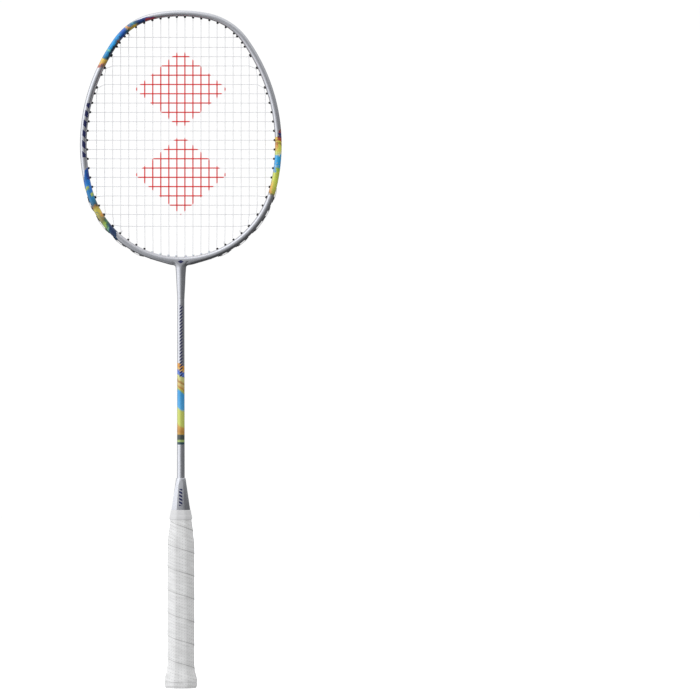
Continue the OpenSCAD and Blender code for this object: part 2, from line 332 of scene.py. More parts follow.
@dataclass(frozen=True)
class StringPlan:
    """Where the strings run and where their holes are, on the right half; the left mirrors it."""

    outline: Outline = field(default_factory=Outline)
    tube_width: float = 6.4 * MM
    lip: float = 1.6 * MM
    main_pitch: float = 8.0 * MM
    half_mains: int = 11
    cross_pitch: float = 9.25 * MM
    crosses: int = 21
    cross_middle: float = 555.0 * MM
    top_extra: float = 0.7 * MM
    bottom_extra: float = 2.5 * MM
    top_shared: tuple[tuple[int, int], ...] = ((9, 3), (10, 5))
    low_shared: tuple[tuple[int, int], ...] = ((8, 20), (9, 19), (10, 17))
    throat_from: float = 150.0  # the heading past which the throat begins
    throat_fan: tuple[float, ...] = (2.8, 1.2, 0.4)
    nub: float = 1.45 * MM
    seat: float = 0.95 * MM
    clear: float = 1.5 * MM  # strings that meet nearer to a hole than this do not cross

    def mouth_inset(self) -> float:
        """Return how far inside the outline the grommets end."""
        return self.tube_width + self.lip

    def tube_width_at(self, heading: float) -> float:
        """Return the tube's width in the string plane: slimmer at the crown, fuller at the throat."""
        stations = ((0.0, 6.0), (35.0, 6.2), (70.0, 6.6), (120.0, 6.7), (165.0, 6.85), (180.0, 6.9))
        return MM * between(stations, abs(heading))

    def nub_inset(self, heading: float) -> float:
        """Return how far inside the outline a grommet's nub really ends."""
        return self.tube_width_at(heading) + self.nub

    def seat_inset(self, heading: float) -> float:
        """Return how deep a grommet's flange sits: low on the head it stands a little proud."""
        turn = abs(heading)
        return self.seat - 1.45 * MM * smoothstep(99.0, 108.0, turn) * smoothstep(166.0, 158.0, turn)

    def main_x(self, k: int) -> float:
        """Return the X of main string k, counted from the middle."""
        return self.main_pitch * (k + 0.5)

    def cross_z(self, j: int) -> float:
        """Return the height of cross string j, counted from the top."""
        place = self.cross_middle + self.cross_pitch * ((self.crosses - 1) / 2 - j)
        if j == 0:
            place += self.top_extra
        if j == self.crosses - 1:
            place -= self.bottom_extra
        return place

    def met_halfway(self, own: float, k: int, shared: Sequence[tuple[int, int]]) -> float:
        """Return a main string's own heading, or the one between it and the cross that shares it."""
        mates = [j for m, j in shared if m == k]
        if not mates:
            return own
        return (own + self.outline.side_heading(self.cross_z(mates[0]), self.mouth_inset())) / 2

    def main_top(self, k: int) -> float:
        """Return the heading of main string k's top hole."""
        own = self.outline.upper_heading(self.main_x(k), self.mouth_inset())
        return self.met_halfway(own, k, self.top_shared)

    def main_low(self, k: int) -> float:
        """Return the heading of main string k's bottom hole."""
        own = self.outline.lower_heading(self.main_x(k), self.mouth_inset())
        return self.met_halfway(own, k, self.low_shared)

    def cross_side(self, j: int) -> float:
        """Return the heading of cross string j's hole."""
        for k, mate in self.top_shared:
            if mate == j:
                return self.main_top(k)
        for k, mate in self.low_shared:
            if mate == j:
                return self.main_low(k)
        return self.outline.side_heading(self.cross_z(j), self.mouth_inset())

    def exit_of(self, heading: float) -> float:
        """Return the heading at which a hole opens outside: beside the throat they fan out."""
        if heading > self.throat_from:
            reach = self.outline.arcs()[-1].radius - self.mouth_inset()
            k = round(math.radians(180 - heading) * reach / self.main_pitch - 0.5)
            if k < len(self.throat_fan):
                return heading - self.throat_fan[k]
        return heading

    def signed_exit(self, heading: float) -> float:
        """Return where a hole of either side opens outside, by its signed heading."""
        return math.copysign(self.exit_of(abs(heading)), heading)

    def column(self, place: int) -> tuple[float, int]:
        """Return the side and the number of a main string, counted from the middle to the right."""
        return (1.0, place) if place >= 0 else (-1.0, -place - 1)

    def hole(self, heading: float, shared: bool = False) -> Hole:
        """Return the hole at a heading."""
        return Hole(heading, self.exit_of(heading), shared)


# -------- Mesh helpers --------


def smoothstep(low: float, high: float, value: float) -> float:
    """Ease from 0 at low to 1 at high."""
    t = max(0.0, min(1.0, (value - low) / (high - low)))
    return t * t * (3 - 2 * t)


def between(stations: Sequence[tuple[float, float]], place: float) -> float:
    """Read a smooth value from a list of stations.

    Args:
        stations: (place, value) pairs in rising order of place.
        place: Where to read.

    Returns:
        The value, on a curve through the stations that never overshoots.
    """
    if place <= stations[0][0]:
        return stations[0][1]
    for i in range(len(stations) - 1):
        (z0, v0), (z1, v1) = stations[i], stations[i + 1]
        if place <= z1:
            before = stations[max(i - 1, 0)]
            after = stations[min(i + 2, len(stations) - 1)]
            span = z1 - z0
            rise = (v1 - v0) / span
            m0 = rise if i == 0 else (v1 - before[1]) / (z1 - before[0])
            m1 = rise if i == len(stations) - 2 else (after[1] - v0) / (after[0] - z0)
            if (v0 - before[1]) * (v1 - v0) <= 0 and i:
                m0 = 0.0
            if (v1 - v0) * (after[1] - v1) <= 0 and i < len(stations) - 2:
                m1 = 0.0
            t = (place - z0) / span
            return (
                (2 * t**3 - 3 * t**2 + 1) * v0 + (t**3 - 2 * t**2 + t) * span * m0
                + (3 * t**2 - 2 * t**3) * v1 + (t**3 - t**2) * span * m1
            )
    return stations[-1][1]


def closed_profile(mesh: BMesh, places: Sequence[Vector], closed: bool = True) -> list:
    """Put a profile's vertices and edges into a mesh, ready to be spun.

    Args:
        mesh: The mesh to add to.
        places: The profile's points in order.
        closed: Whether the last point joins the first.

    Returns:
        The new vertices and edges.
    """
    verts = [mesh.verts.new(p) for p in places]
    pairs = list(zip(verts, verts[1:])) + ([(verts[-1], verts[0])] if closed else [])
    return verts + [mesh.edges.new(pair) for pair in pairs]


def turn_full(
    mesh: BMesh, profile: Sequence[tuple[float, float]], steps: int, closed: bool = True,
) -> list[BMVert]:
    """Turn a profile through a full circle about the upright axis.

    Args:
        mesh: The mesh to add to.
        profile: (radius, height) pairs in millimetres.
        steps: How many facets the circle has.
        closed: Whether the last point joins the first.

    Returns:
        The new vertices.
    """
    known = set(mesh.verts)
    loop = closed_profile(mesh, [Vector((r * MM, 0.0, z * MM)) for r, z in profile], closed)
    bmesh.ops.spin(
        mesh, geom=loop, cent=Vector(), axis=UP, dvec=Vector(), angle=FULL, steps=steps, use_merge=True,
        use_duplicate=False,
    )
    return [vert for vert in mesh.verts if vert not in known]


def at_angle(reach: float, angle: float, z: float) -> Vector:
    """Return the point at a distance from the axis, a bearing and a height."""
    return Vector((reach * math.cos(angle), reach * math.sin(angle), z))


def finish_mesh(mesh: BMesh, name: str, material: Material, sharp: float = 40.0, weld: float = 1e-7) -> Piece:
    """Weld, face outwards, shade and turn a mesh under construction into an object.

    Args:
        mesh: The mesh under construction; it is freed.
        name: The object's name.
        material: Its material.
        sharp: Edges that turn by more than this many degrees stay crisp.
        weld: Vertices closer than this are merged.

    Returns:
        The new object, at the origin.
    """
    bmesh.ops.remove_doubles(mesh, verts=mesh.verts[:], dist=weld)
    bmesh.ops.recalc_face_normals(mesh, faces=mesh.faces[:])
    limit = math.radians(sharp)
    for face in mesh.faces:
        face.smooth = True
    for edge in mesh.edges:
        if len(edge.link_faces) == 2:
            edge.smooth = edge.calc_face_angle(0.0) < limit
    data = bpy.data.meshes.new(name)
    mesh.to_mesh(data)
    mesh.free()
    data.materials.append(material)
    piece = bpy.data.objects.new(name, data)
    bpy.context.scene.collection.objects.link(piece)
    return piece


def place_piece(piece: Piece, slot: str, *nodes: str) -> Piece:
    """Say what a finished piece rides on and stands for: attach it to the body and hide the design's nodes.

    Args:
        piece: The finished object.
        slot: The name of the piece's material slot; not used.
        nodes: The design's nodes that it stands for.

    Returns:
        The same object.
    """
    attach(piece, BODY)
    if nodes:
        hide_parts(*nodes)
    LOG.info("%s: %d faces, for %s", piece.name, len(piece.data.polygons), ", ".join(nodes) or "detail")
    return piece


def round_cord(
    name: str, routes: Sequence[Sequence[Vector]], radius: float, material: Material, sides: int = 2,
    swell: Callable[[Vector], float] = lambda place: 1.0,
) -> Piece:
    """Sweep a round section along open routes.

    Args:
        name: The object's name.
        routes: The points of each route.
        radius: The section's radius.
        material: The cord's material.
        sides: The curve's bevel resolution.
        swell: How many times thicker the cord is at a place.

    Returns:
        The mesh object.
    """
    curve = bpy.data.curves.new(name + "_route", "CURVE")
    curve.dimensions = "3D"
    curve.bevel_depth = radius
    curve.bevel_resolution = sides
    curve.use_fill_caps = True
    curve.twist_mode = "MINIMUM"
    for route in routes:
        spline = curve.splines.new("POLY")
        spline.points.add(len(route) - 1)
        for point, place in zip(spline.points, route):
            point.co = (*place, 1.0)
            point.radius = swell(place)
    holder = bpy.data.objects.new(name + "_route", curve)
    bpy.context.scene.collection.objects.link(holder)
    bpy.context.view_layer.update()
    data = bpy.data.meshes.new_from_object(holder.evaluated_get(bpy.context.evaluated_depsgraph_get()))
    bpy.data.objects.remove(holder)
    bpy.data.curves.remove(curve)
    mesh = bmesh.new()
    mesh.from_mesh(data)
    bpy.data.meshes.remove(data)
    return finish_mesh(mesh, name, material, sharp=75.0)


# -------- Finishes --------


class Zone(Enum):
    """The stretches of the head tube that carry the painted colour wash."""

    UPPER_LEFT = "upper_left"
    LOWER_LEFT = "lower_left"
    RIGHT = "right"


Stops = tuple[tuple[float, str], ...]


@dataclass(frozen=True)
class Wash:
    """A run of painted colours, from start to end, in degrees round the head or in metres.

    The outer and the inner half of the tube have their own colours. The cover is how much of the
    tube's width is painted at each place: 0 for none and 1 for all of it, spreading from the inner
    edge or, for a positive spread, from the outer edge. The lean slants the far end. The gains
    brighten a half that faces away from the light. Small dabs of one more colour lie over it all.
    """

    start: float
    end: float
    outer: Stops
    inner: Stops = ()
    cover: Stations = ()
    spread: float = -1.0
    lean: float = 0.0
    outer_gain: float = 1.0
    inner_gain: float = 1.0
    dab: str = "1C6A8C"


HEAD_WASHES: dict[Zone, Wash] = {
    Zone.UPPER_LEFT: Wash(
        start=-10.5, end=-45.9,
        inner=(
            (0.00, "5E181C"), (0.10, "A22C32"), (0.15, "9A2A30"), (0.17, "10185C"), (0.23, "101A5A"),
            (0.26, "45411E"), (0.30, "CDAA26"), (0.38, "A08A20"), (0.41, "12403E"), (0.45, "0A2C62"),
            (0.50, "0D3F96"), (0.54, "103A70"), (0.56, "7A6A24"), (0.585, "7E3C24"), (0.62, "5A5024"),
            (0.65, "142636"), (0.80, "1B3A50"), (0.86, "24403C"), (0.88, "C4A02E"), (0.94, "A88432"),
            (1.00, "7A5038"),
        ),
        outer=(
            (0.15, "4A549A"), (0.22, "1C2C80"), (0.26, "1A5478"), (0.30, "1C6A90"), (0.315, "66BAA8"),
            (0.33, "2C7CA8"), (0.37, "2A78A4"), (0.385, "E48E62"), (0.42, "DDBB58"), (0.435, "1C5CC0"),
            (0.50, "0868C8"), (0.54, "1098E4"), (0.74, "18A4E8"), (0.755, "88D6A6"), (0.775, "1C9CDC"),
            (0.84, "2088C4"), (0.86, "2E6C74"), (0.88, "F0CC56"), (0.925, "EEC052"), (0.95, "DE8C68"),
            (0.97, "A8543C"), (1.00, "DC8E78"),
        ),
        cover=((0.0, 0.02), (0.04, 0.40), (0.16, 0.60), (0.24, 0.72), (0.34, 0.80), (0.40, 1.0)), lean=1.5,
        outer_gain=0.90, inner_gain=1.05,
    ),
    Zone.LOWER_LEFT: Wash(
        start=-103.4, end=-144.8,
        inner=(
            (0.00, "1448A0"), (0.10, "123C90"), (0.17, "10307E"), (0.19, "157AD2"), (0.29, "1870CC"),
            (0.345, "1B74C4"), (0.365, "B4C846"), (0.395, "9CB84C"), (0.41, "1D7FB4"), (0.47, "1B6E90"),
            (0.51, "2C4A50"), (0.55, "5E4626"), (0.585, "B8A03E"), (0.61, "CFC34A"), (0.655, "D8B440"),
            (0.70, "CA8C3E"), (0.73, "7C7638"), (0.76, "28484A"), (0.79, "3F7E4C"), (0.84, "1E5040"),
            (0.87, "12305E"), (1.00, "0E2A52"),
        ),
        outer=(
            (0.16, "0C68C4"), (0.25, "108CE0"), (0.265, "B8CC48"), (0.285, "A8BE4E"), (0.30, "0C84CC"),
            (0.44, "2A88C0"), (0.50, "3E6C84"), (0.53, "B08040"), (0.58, "DACE56"), (0.65, "CCC25C"),
            (0.69, "B0A468"), (0.73, "8C8C50"), (0.77, "A6C850"), (0.80, "B8D868"), (0.83, "4E8A58"),
            (0.85, "98D0AC"), (0.865, "4E8A8C"), (0.88, "163A6C"), (1.00, "0F2E5C"),
        ),
        cover=((0.0, 0.10), (0.05, 0.52), (0.13, 0.72), (0.18, 0.86), (0.24, 1.0)), lean=1.9, outer_gain=0.85,
        inner_gain=1.15,
    ),
    Zone.RIGHT: Wash(
        start=80.2, end=118.8,
        inner=(
            (0.14, "EAC440"), (0.175, "D8B048"), (0.185, "7A3A2C"), (0.20, "DACE60"), (0.225, "C8A050"),
            (0.24, "9C4C2A"), (0.265, "E0A252"), (0.33, "D8AA60"), (0.36, "CED66C"), (0.40, "C8DC8C"),
            (0.41, "4AB0EC"), (0.56, "48ACE8"), (0.575, "B4D8F6"), (0.59, "46AAE6"), (0.66, "3FA4E0"),
            (0.675, "D2DC70"), (0.80, "D4D868"), (0.87, "E4BE58"), (0.95, "E8A850"), (0.98, "C08A4A"),
            (1.00, "8A6A50"),
        ),
        outer=(
            (0.00, "5C2024"), (0.07, "7A262C"), (0.08, "121E60"), (0.135, "101C5C"), (0.15, "8C2C20"),
            (0.19, "96382A"), (0.205, "CCC440"), (0.235, "7C5C2A"), (0.26, "B8BC4A"), (0.35, "BEC250"),
            (0.40, "C6CCA0"), (0.41, "2290D6"), (0.59, "1F86CC"), (0.61, "6EA038"), (0.66, "A2B03C"),
            (0.85, "AEB64A"), (0.95, "9A983E"), (1.00, "5E5C42"),
        ),
        cover=((0.0, 0.04), (0.035, 0.26), (0.08, 0.46), (0.13, 0.56), (0.145, 1.0)), spread=1.0, lean=-0.2,
        dab="C8B868", outer_gain=1.65,
    ),
}

SHAFT_WASH = Wash(
    start=0.3225, end=0.2425,
    outer=(
        (0.00, "E0A040"), (0.05, "D8963C"), (0.075, "E8C060"), (0.09, "3C66C4"), (0.125, "6E92DC"),
        (0.14, "3258B8"), (0.155, "D2D68A"), (0.20, "D4CC80"), (0.225, "B0783A"), (0.245, "D8CC80"),
        (0.275, "D2B068"), (0.295, "B87A38"), (0.315, "CCC05C"), (0.335, "9CB85C"), (0.350, "3FA0DC"),
        (0.55, "52ACE4"), (0.575, "CCD468"), (0.755, "CDD66A"), (0.785, "D2A04E"), (0.845, "C08A40"),
        (0.87, "CDA044"), (0.882, "4A5450"), (0.935, "46504C"), (0.950, "A8C070"), (0.965, "A8C070"),
        (0.972, "2C4A54"), (1.00, "2A4A56"),
    ),
)


@dataclass(frozen=True)
class LacqueredSilver(Finish):
    """Metallic silver car-type paint over moulded carbon: aluminium flake under clear lacquer.

    It gives the eye a cool grey that turns from near white to slate as the surface turns, with a
    fine sparkle. The head and the shaft carry a painted wash of colours and plain navy marks.
    """

    navy: str = "1A2158"
    print_metal: float = 0.25
    flake_size: float = 0.35  # millimetres; real flake is 0.03, drawn coarser so that it shows

    def ramp_of(self, tree: Tree, stops: Stops, place: Source, gain: float = 1.0) -> Source:
        """Read a run of colours.

        Args:
            tree: The material's node tree.
            stops: The colours.
            place: Where to read, from 0 to 1.
            gain: How much brighter than the given colours.

        Returns:
            The colour there.
        """
        shades = []
        for spot, code in stops:
            lit = [min(0.85, value * gain) for value in linear(code)[:3]]
            shades.append((spot, (*lit, 1.0)))
        return add_node(tree, "ValToRGB", {"stops": shades, "Fac": place})

    def wash_over(
        self, tree: Tree, base: Source, along: Source, wash: Wash, outward: Source | None = None,
        halves: Source | None = None, dabs: Source | None = None,
    ) -> tuple[Source, Socket]:
        """Paint one wash over a colour.

        Args:
            tree: The material's node tree.
            base: The colour under it.
            along: The place along the tube, in the wash's own unit.
            wash: The wash.
            outward: From -1 at the tube's inner edge to 1 at its outer edge, if the wash has halves.
            halves: 0 on the inner half and 1 on the outer, with a ragged edge between.
            dabs: 1 where a dab lies and 0 elsewhere, if the wash has any.

        Returns:
            The colour with the wash over it, and the mask of the wash.
        """
        if outward is not None:
            slant = add_node(
                tree, "MapRange",
                {
                    "From Min": (wash.start + wash.end) / 2, "From Max": wash.end, "To Max": wash.lean,
                    "Value": along,
                },
            )
            along = add_node(tree, "Math MULTIPLY_ADD", {0: slant, 1: outward, 2: along})
        reach = add_node(
            tree, "MapRange", {"From Min": wash.start, "From Max": wash.end, "clamp": False, "Value": along},
        )
        colour = self.ramp_of(tree, wash.outer, reach, wash.outer_gain)
        mask = add_node(tree, "Math COMPARE", {0: reach, 1: 0.5, 2: 0.5})
        if outward is not None:
            colour = add_node(
                tree, "Mix MIX",
                {0: halves, 6: self.ramp_of(tree, wash.inner, reach, wash.inner_gain), 7: colour},
            )
            limits = [(spot, (share, share, share, 1.0)) for spot, share in wash.cover]
            cover = add_node(tree, "ValToRGB", {"stops": limits, "Fac": reach})
            limit = add_node(tree, "MapRange", {"To Min": -1.1, "To Max": 1.3, "Value": cover})
            side = add_node(tree, "Math MULTIPLY", {0: outward, 1: -wash.spread})
            within = add_node(tree, "Math LESS_THAN", {0: side, 1: limit})
            mask = add_node(tree, "Math MULTIPLY", {0: mask, 1: within})
        if dabs is not None:
            colour = add_node(tree, "Mix MIX", {0: dabs, 6: colour, 7: linear(wash.dab)})
        return add_node(tree, "Mix MIX", {0: mask, 6: base, 7: colour}), mask

    def mark_over(self, tree: Tree, base: Source, mask: Source) -> Source:
        """Print navy over a colour where a mask says so."""
        return add_node(tree, "Mix MIX", {0: mask, 6: base, 7: linear(self.navy)})

    def slanted(
        self, tree: Tree, axes: Outputs, slant: float, pitch: float, share: float, span: tuple[float, float],
        limits: Sequence[Node],
    ) -> Source:
        """Mask a stack of slanted stripes.

        Args:
            tree: The material's node tree.
            axes: The outputs of the separated object coordinates.
            slant: How much a stripe falls for each metre to the right.
            pitch: The height from one stripe to the next.
            share: How much of the pitch is painted.
            span: The stack's lowest and highest place.
            limits: Nodes that give 1 inside the stack's own limits and 0 outside.

        Returns:
            1 on a stripe and 0 off it.
        """
        lean = add_node(tree, "Math MULTIPLY", {0: axes[0], 1: slant})
        slid = add_node(tree, "Math ADD", {0: axes[2], 1: lean})
        turns = add_node(tree, "Math DIVIDE", {0: slid, 1: pitch})
        part = add_node(tree, "Math FRACT", {0: turns})
        mask = add_node(tree, "Math LESS_THAN", {0: part, 1: share})
        low, high = span
        within = {0: axes[2], 1: (low + high) / 2, 2: (high - low) / 2}
        for limit in (add_node(tree, "Math COMPARE", within), *limits):
            mask = add_node(tree, "Math MULTIPLY", {0: mask, 1: limit})
        return mask

    def print_matt(self, tree: Tree, shader: Node, masks: Sequence[Source]) -> None:
        """Take the metal out of the shader where a print covers the flake.

        Args:
            tree: The material's node tree.
            shader: Its Principled shader.
            masks: The masks of the printed areas.
        """
        total = masks[0]
        for mask in masks[1:]:
            total = add_node(tree, "Math MAXIMUM", {0: total, 1: mask})
        metal = add_node(
            tree, "MapRange", {"To Min": self.metallic, "To Max": self.print_metal, "Value": total},
        )
        connect(shader, {"Metallic": metal})

    def flake(self, tree: Tree, shader: Node, place: Source) -> None:
        """Add the flake's sparkle and the lacquer's faint orange peel.

        Args:
            tree: The material's node tree.
            shader: Its Principled shader.
            place: Object coordinates.
        """
        cells = add_node(tree, "TexVoronoi", {"Scale": 1 / (self.flake_size * MM), "Vector": place})
        gloss = add_node(
            tree, "MapRange",
            {
                "To Min": self.roughness * 0.82, "To Max": self.roughness * 1.2,
                "Value": cells.outputs["Color"],
            },
        )
        connect(shader, {"Roughness": gloss})
        peel = add_node(tree, "TexNoise", {"Scale": 450.0, "Detail": 2.0, "Vector": place})
        bump = add_node(tree, "Bump", {"Strength": 0.12, "Distance": 0.02 * MM, "Height": peel})
        connect(shader, {"Coat Normal": bump, "Normal": bump})

    def silver(self, tree: Tree, place: Source) -> Source:
        """Return the bare silver, with the slight mottle of sprayed flake."""
        mottle = add_node(tree, "TexNoise", {"Scale": 900.0, "Detail": 3.0, "Vector": place})
        dark, light = linear(self.colour), linear("DADCE1")
        return add_node(tree, "ValToRGB", {"stops": [(0.3, dark), (0.7, light)], "Fac": mottle})

    def dress(self, tree: Tree, shader: Node) -> None:
        """Plain silver with flake.

        Args:
            tree: The material's node tree.
            shader: Its Principled shader.
        """
        place = add_node(tree, "TexCoord").outputs["Object"]
        connect(shader, {"Base Color": self.silver(tree, place)})
        self.flake(tree, shader, place)


@dataclass(frozen=True)
class HeadPaint(LacqueredSilver):
    """The head's silver, with three colour washes, navy speed bars and a throat lozenge."""

    wash_middle: float = 0.541
    bar_low: float = 0.5285
    bar_high: float = 0.5825
    bar_pitch: float = 11.0 * MM
    lozenge_z: float = 424.6 * MM
    lozenge_half: float = 3.1 * MM
    lozenge_squash: float = 1.7  # how much wider than tall

    def dress(self, tree: Tree, shader: Node) -> None:
        """Paint the head: silver, then the washes, then the marks.

        Args:
            tree: The material's node tree.
            shader: Its Principled shader.
        """
        place = add_node(tree, "TexCoord").outputs["Object"]
        axes = add_node(tree, "SeparateXYZ", {0: place}).outputs
        outward = add_node(tree, "Attribute", {"attribute_name": "outward"}).outputs["Fac"]
        up = add_node(tree, "Math SUBTRACT", {0: axes[2], 1: self.wash_middle})
        turn = add_node(tree, "Math ARCTAN2", {0: axes[0], 1: up})
        bearing = add_node(tree, "Math MULTIPLY", {0: turn, 1: math.degrees(1.0)})
        # Brush strokes some 5 mm wide push the edges of the colours about
        strokes = add_node(
            tree, "TexNoise",
            {"Scale": 190.0, "Detail": 4.0, "Roughness": 0.65, "Distortion": 0.5, "Vector": place},
        )
        push = add_node(tree, "MapRange", {"To Min": -2.6, "To Max": 2.6, "Value": strokes})
        along = add_node(tree, "Math ADD", {0: bearing, 1: push})
        dabs = add_node(tree, "TexNoise", {"Scale": 420.0, "Detail": 2.0, "Distortion": 0.8, "Vector": place})
        ragged = add_node(tree, "MapRange", {"To Min": -0.9, "To Max": 0.9, "Value": dabs})
        edge = add_node(tree, "Math ADD", {0: outward, 1: ragged})
        halves = add_node(tree, "MapRange", {"From Min": -0.42, "From Max": 0.02, "Value": edge})
        paint = self.silver(tree, place)
        flecks = add_node(
            tree, "TexNoise", {"Scale": 520.0, "Detail": 1.0, "Distortion": 1.2, "Vector": place},
        )
        spots = add_node(
            tree, "MapRange", {"From Min": 0.60, "From Max": 0.66, "To Max": 0.75, "Value": flecks},
        )
        marks = [self.bars(tree, axes, outward), self.lozenge(tree, axes)]
        masks = list(marks)
        for wash in HEAD_WASHES.values():
            paint, mask = self.wash_over(tree, paint, along, wash, outward, halves, spots)
            masks.append(mask)
        for mark in marks:
            paint = self.mark_over(tree, paint, mark)
        connect(shader, {"Base Color": paint})
        self.print_matt(tree, shader, masks)
        self.flake(tree, shader, place)

    def bars(self, tree: Tree, axes: Outputs, outward: Source) -> Source:
        """Mask five slanted navy bars on the left side, front and back.

        Args:
            tree: The material's node tree.
            axes: The outputs of the separated object coordinates.
            outward: From -1 at the tube's inner edge to 1 at its outer edge.

        Returns:
            1 on a bar and 0 off it.
        """
        left = add_node(tree, "Math LESS_THAN", {0: axes[0], 1: -0.05})
        deep = add_node(tree, "Math ABSOLUTE", {0: axes[1]})
        face = add_node(tree, "Math GREATER_THAN", {0: deep, 1: 2.0 * MM})
        ridge = add_node(tree, "Math COMPARE", {0: outward, 1: -0.18, 2: 0.52})
        span = (self.bar_low, self.bar_high)
        return self.slanted(tree, axes, 0.9, self.bar_pitch, 0.6, span, (left, face, ridge))

    def lozenge(self, tree: Tree, axes: Outputs) -> Source:
        """Mask a small lozenge at the throat, front and back."""
        wide = add_node(tree, "Math ABSOLUTE", {0: axes[0]})
        drop = add_node(tree, "Math SUBTRACT", {0: axes[2], 1: self.lozenge_z})
        tall = add_node(tree, "Math ABSOLUTE", {0: drop})
        lean = add_node(tree, "Math MULTIPLY", {0: tall, 1: self.lozenge_squash})
        total = add_node(tree, "Math ADD", {0: wide, 1: lean})
        return add_node(tree, "Math LESS_THAN", {0: total, 1: self.lozenge_half})


@dataclass(frozen=True)
class ShaftPaint(LacqueredSilver):
    """The shaft's silver, with one colour wash and a ladder of slanted navy ticks above it."""

    tick_low: float = 0.3095
    tick_high: float = 0.3815
    tick_pitch: float = 3.2 * MM

    def dress(self, tree: Tree, shader: Node) -> None:
        """Paint the shaft: silver, then the wash, then the ticks.

        Args:
            tree: The material's node tree.
            shader: Its Principled shader.
        """
        place = add_node(tree, "TexCoord").outputs["Object"]
        axes = add_node(tree, "SeparateXYZ", {0: place}).outputs
        strokes = add_node(
            tree, "TexNoise", {"Scale": 200.0, "Detail": 2.0, "Distortion": 0.4, "Vector": place},
        )
        push = add_node(tree, "MapRange", {"To Min": -2.4 * MM, "To Max": 2.4 * MM, "Value": strokes})
        lean = add_node(tree, "Math MULTIPLY", {0: axes[0], 1: 0.59})
        slid = add_node(tree, "Math ADD", {0: axes[2], 1: lean})
        # The dark band at the foot of the wash is masked square, so the push dies out there
        steady = add_node(tree, "MapRange", {"From Min": 0.252, "From Max": 0.262, "Value": axes[2]})
        gentle = add_node(tree, "Math MULTIPLY", {0: push, 1: steady})
        leaning = add_node(tree, "Mix", {0: steady, 2: axes[2], 3: slid})
        along = add_node(tree, "Math ADD", {0: leaning, 1: gentle})
        paint, mask = self.wash_over(tree, self.silver(tree, place), along, SHAFT_WASH)
        narrow = add_node(tree, "Math COMPARE", {0: axes[0], 1: 0.25 * MM, 2: 1.55 * MM})
        span = (self.tick_low, self.tick_high)
        ticks = self.slanted(tree, axes, -0.8, self.tick_pitch, 0.55, span, (narrow,))
        connect(shader, {"Base Color": self.mark_over(tree, paint, ticks)})
        self.print_matt(tree, shader, [mask, ticks])
        self.flake(tree, shader, place)


@dataclass(frozen=True)
class CapPaint(LacqueredSilver):
    """The cone cap's silver lacquer on moulded ABS, with a stack of navy bars on the front facet."""

    bar_low: float = 181.5 * MM
    bar_high: float = 198.5 * MM
    bar_pitch: float = 3.4 * MM

    def dress(self, tree: Tree, shader: Node) -> None:
        """Paint the cap: silver, then the bars.

        Args:
            tree: The material's node tree.
            shader: Its Principled shader.
        """
        place = add_node(tree, "TexCoord").outputs["Object"]
        axes = add_node(tree, "SeparateXYZ", {0: place}).outputs
        narrow = add_node(tree, "Math COMPARE", {0: axes[0], 1: 0.0, 2: 1.7 * MM})
        mask = self.slanted(tree, axes, 0.5, self.bar_pitch, 0.6, (self.bar_low, self.bar_high), (narrow,))
        paint = self.mark_over(tree, self.silver(tree, place), mask)
        connect(shader, {"Base Color": paint})
        self.print_matt(tree, shader, [mask])
        self.flake(tree, shader, place)


@dataclass(frozen=True)
class Stencil:
    """The emblem inked on the string bed: two plain lozenges, one above the other."""

    middle: float = 554.0 * MM
    apart: float = 42.5 * MM
    wide: float = 46.0 * MM
    tall: float = 40.0 * MM

    def inked(self, place: Vector) -> bool:
        """Say whether a place on the string bed is inked."""
        limit = self.tall * (1 - abs(place.x) / self.wide)
        return abs(abs(place.z - self.middle) - self.apart) < limit


STENCIL = Stencil()


@dataclass(frozen=True)
class StringNylon(Finish):
    """Braided multifilament nylon string under a clear coat, white, with a red stencilled emblem.

    The braid's 0.3 mm ridges catch the light a little; the ink is thin and follows the strings.
    """

    ink: str = "DC0010"
    braid: float = 0.3
    painted_glow: float = 0.1

    def dress(self, tree: Tree, shader: Node) -> None:
        """Add the braid, the stencilled lozenges and a painted glow.

        Args:
            tree: The material's node tree.
            shader: Its Principled shader.
        """
        place = add_node(tree, "TexCoord").outputs["Object"]
        axes = add_node(tree, "SeparateXYZ", {0: place}).outputs
        wide = add_node(tree, "Math ABSOLUTE", {0: axes[0]})
        slope = -STENCIL.tall / STENCIL.wide
        limit = add_node(tree, "Math MULTIPLY_ADD", {0: wide, 1: slope, 2: STENCIL.tall})
        off = add_node(tree, "Math SUBTRACT", {0: axes[2], 1: STENCIL.middle})
        folded = add_node(tree, "Math ABSOLUTE", {0: off})
        mask = add_node(tree, "Math COMPARE", {0: folded, 1: STENCIL.apart, 2: limit})
        ink = add_node(tree, "Mix MIX", {0: mask, 6: linear(self.colour), 7: linear(self.ink)})
        # Painted light: the string emits a faint glow in its own colour and the ink's, standing in for the
        # light that a thin translucent cord passes on from behind
        connect(shader, {"Base Color": ink, "Emission Color": ink})
        shader.inputs["Emission Strength"].default_value = self.painted_glow
        ridges = add_node(tree, "TexVoronoi", {"Scale": 1 / (self.braid * MM), "Vector": place})
        bump = add_node(tree, "Bump", {"Strength": 0.4, "Distance": 0.05 * MM, "Height": ridges})
        connect(shader, {"Normal": bump})


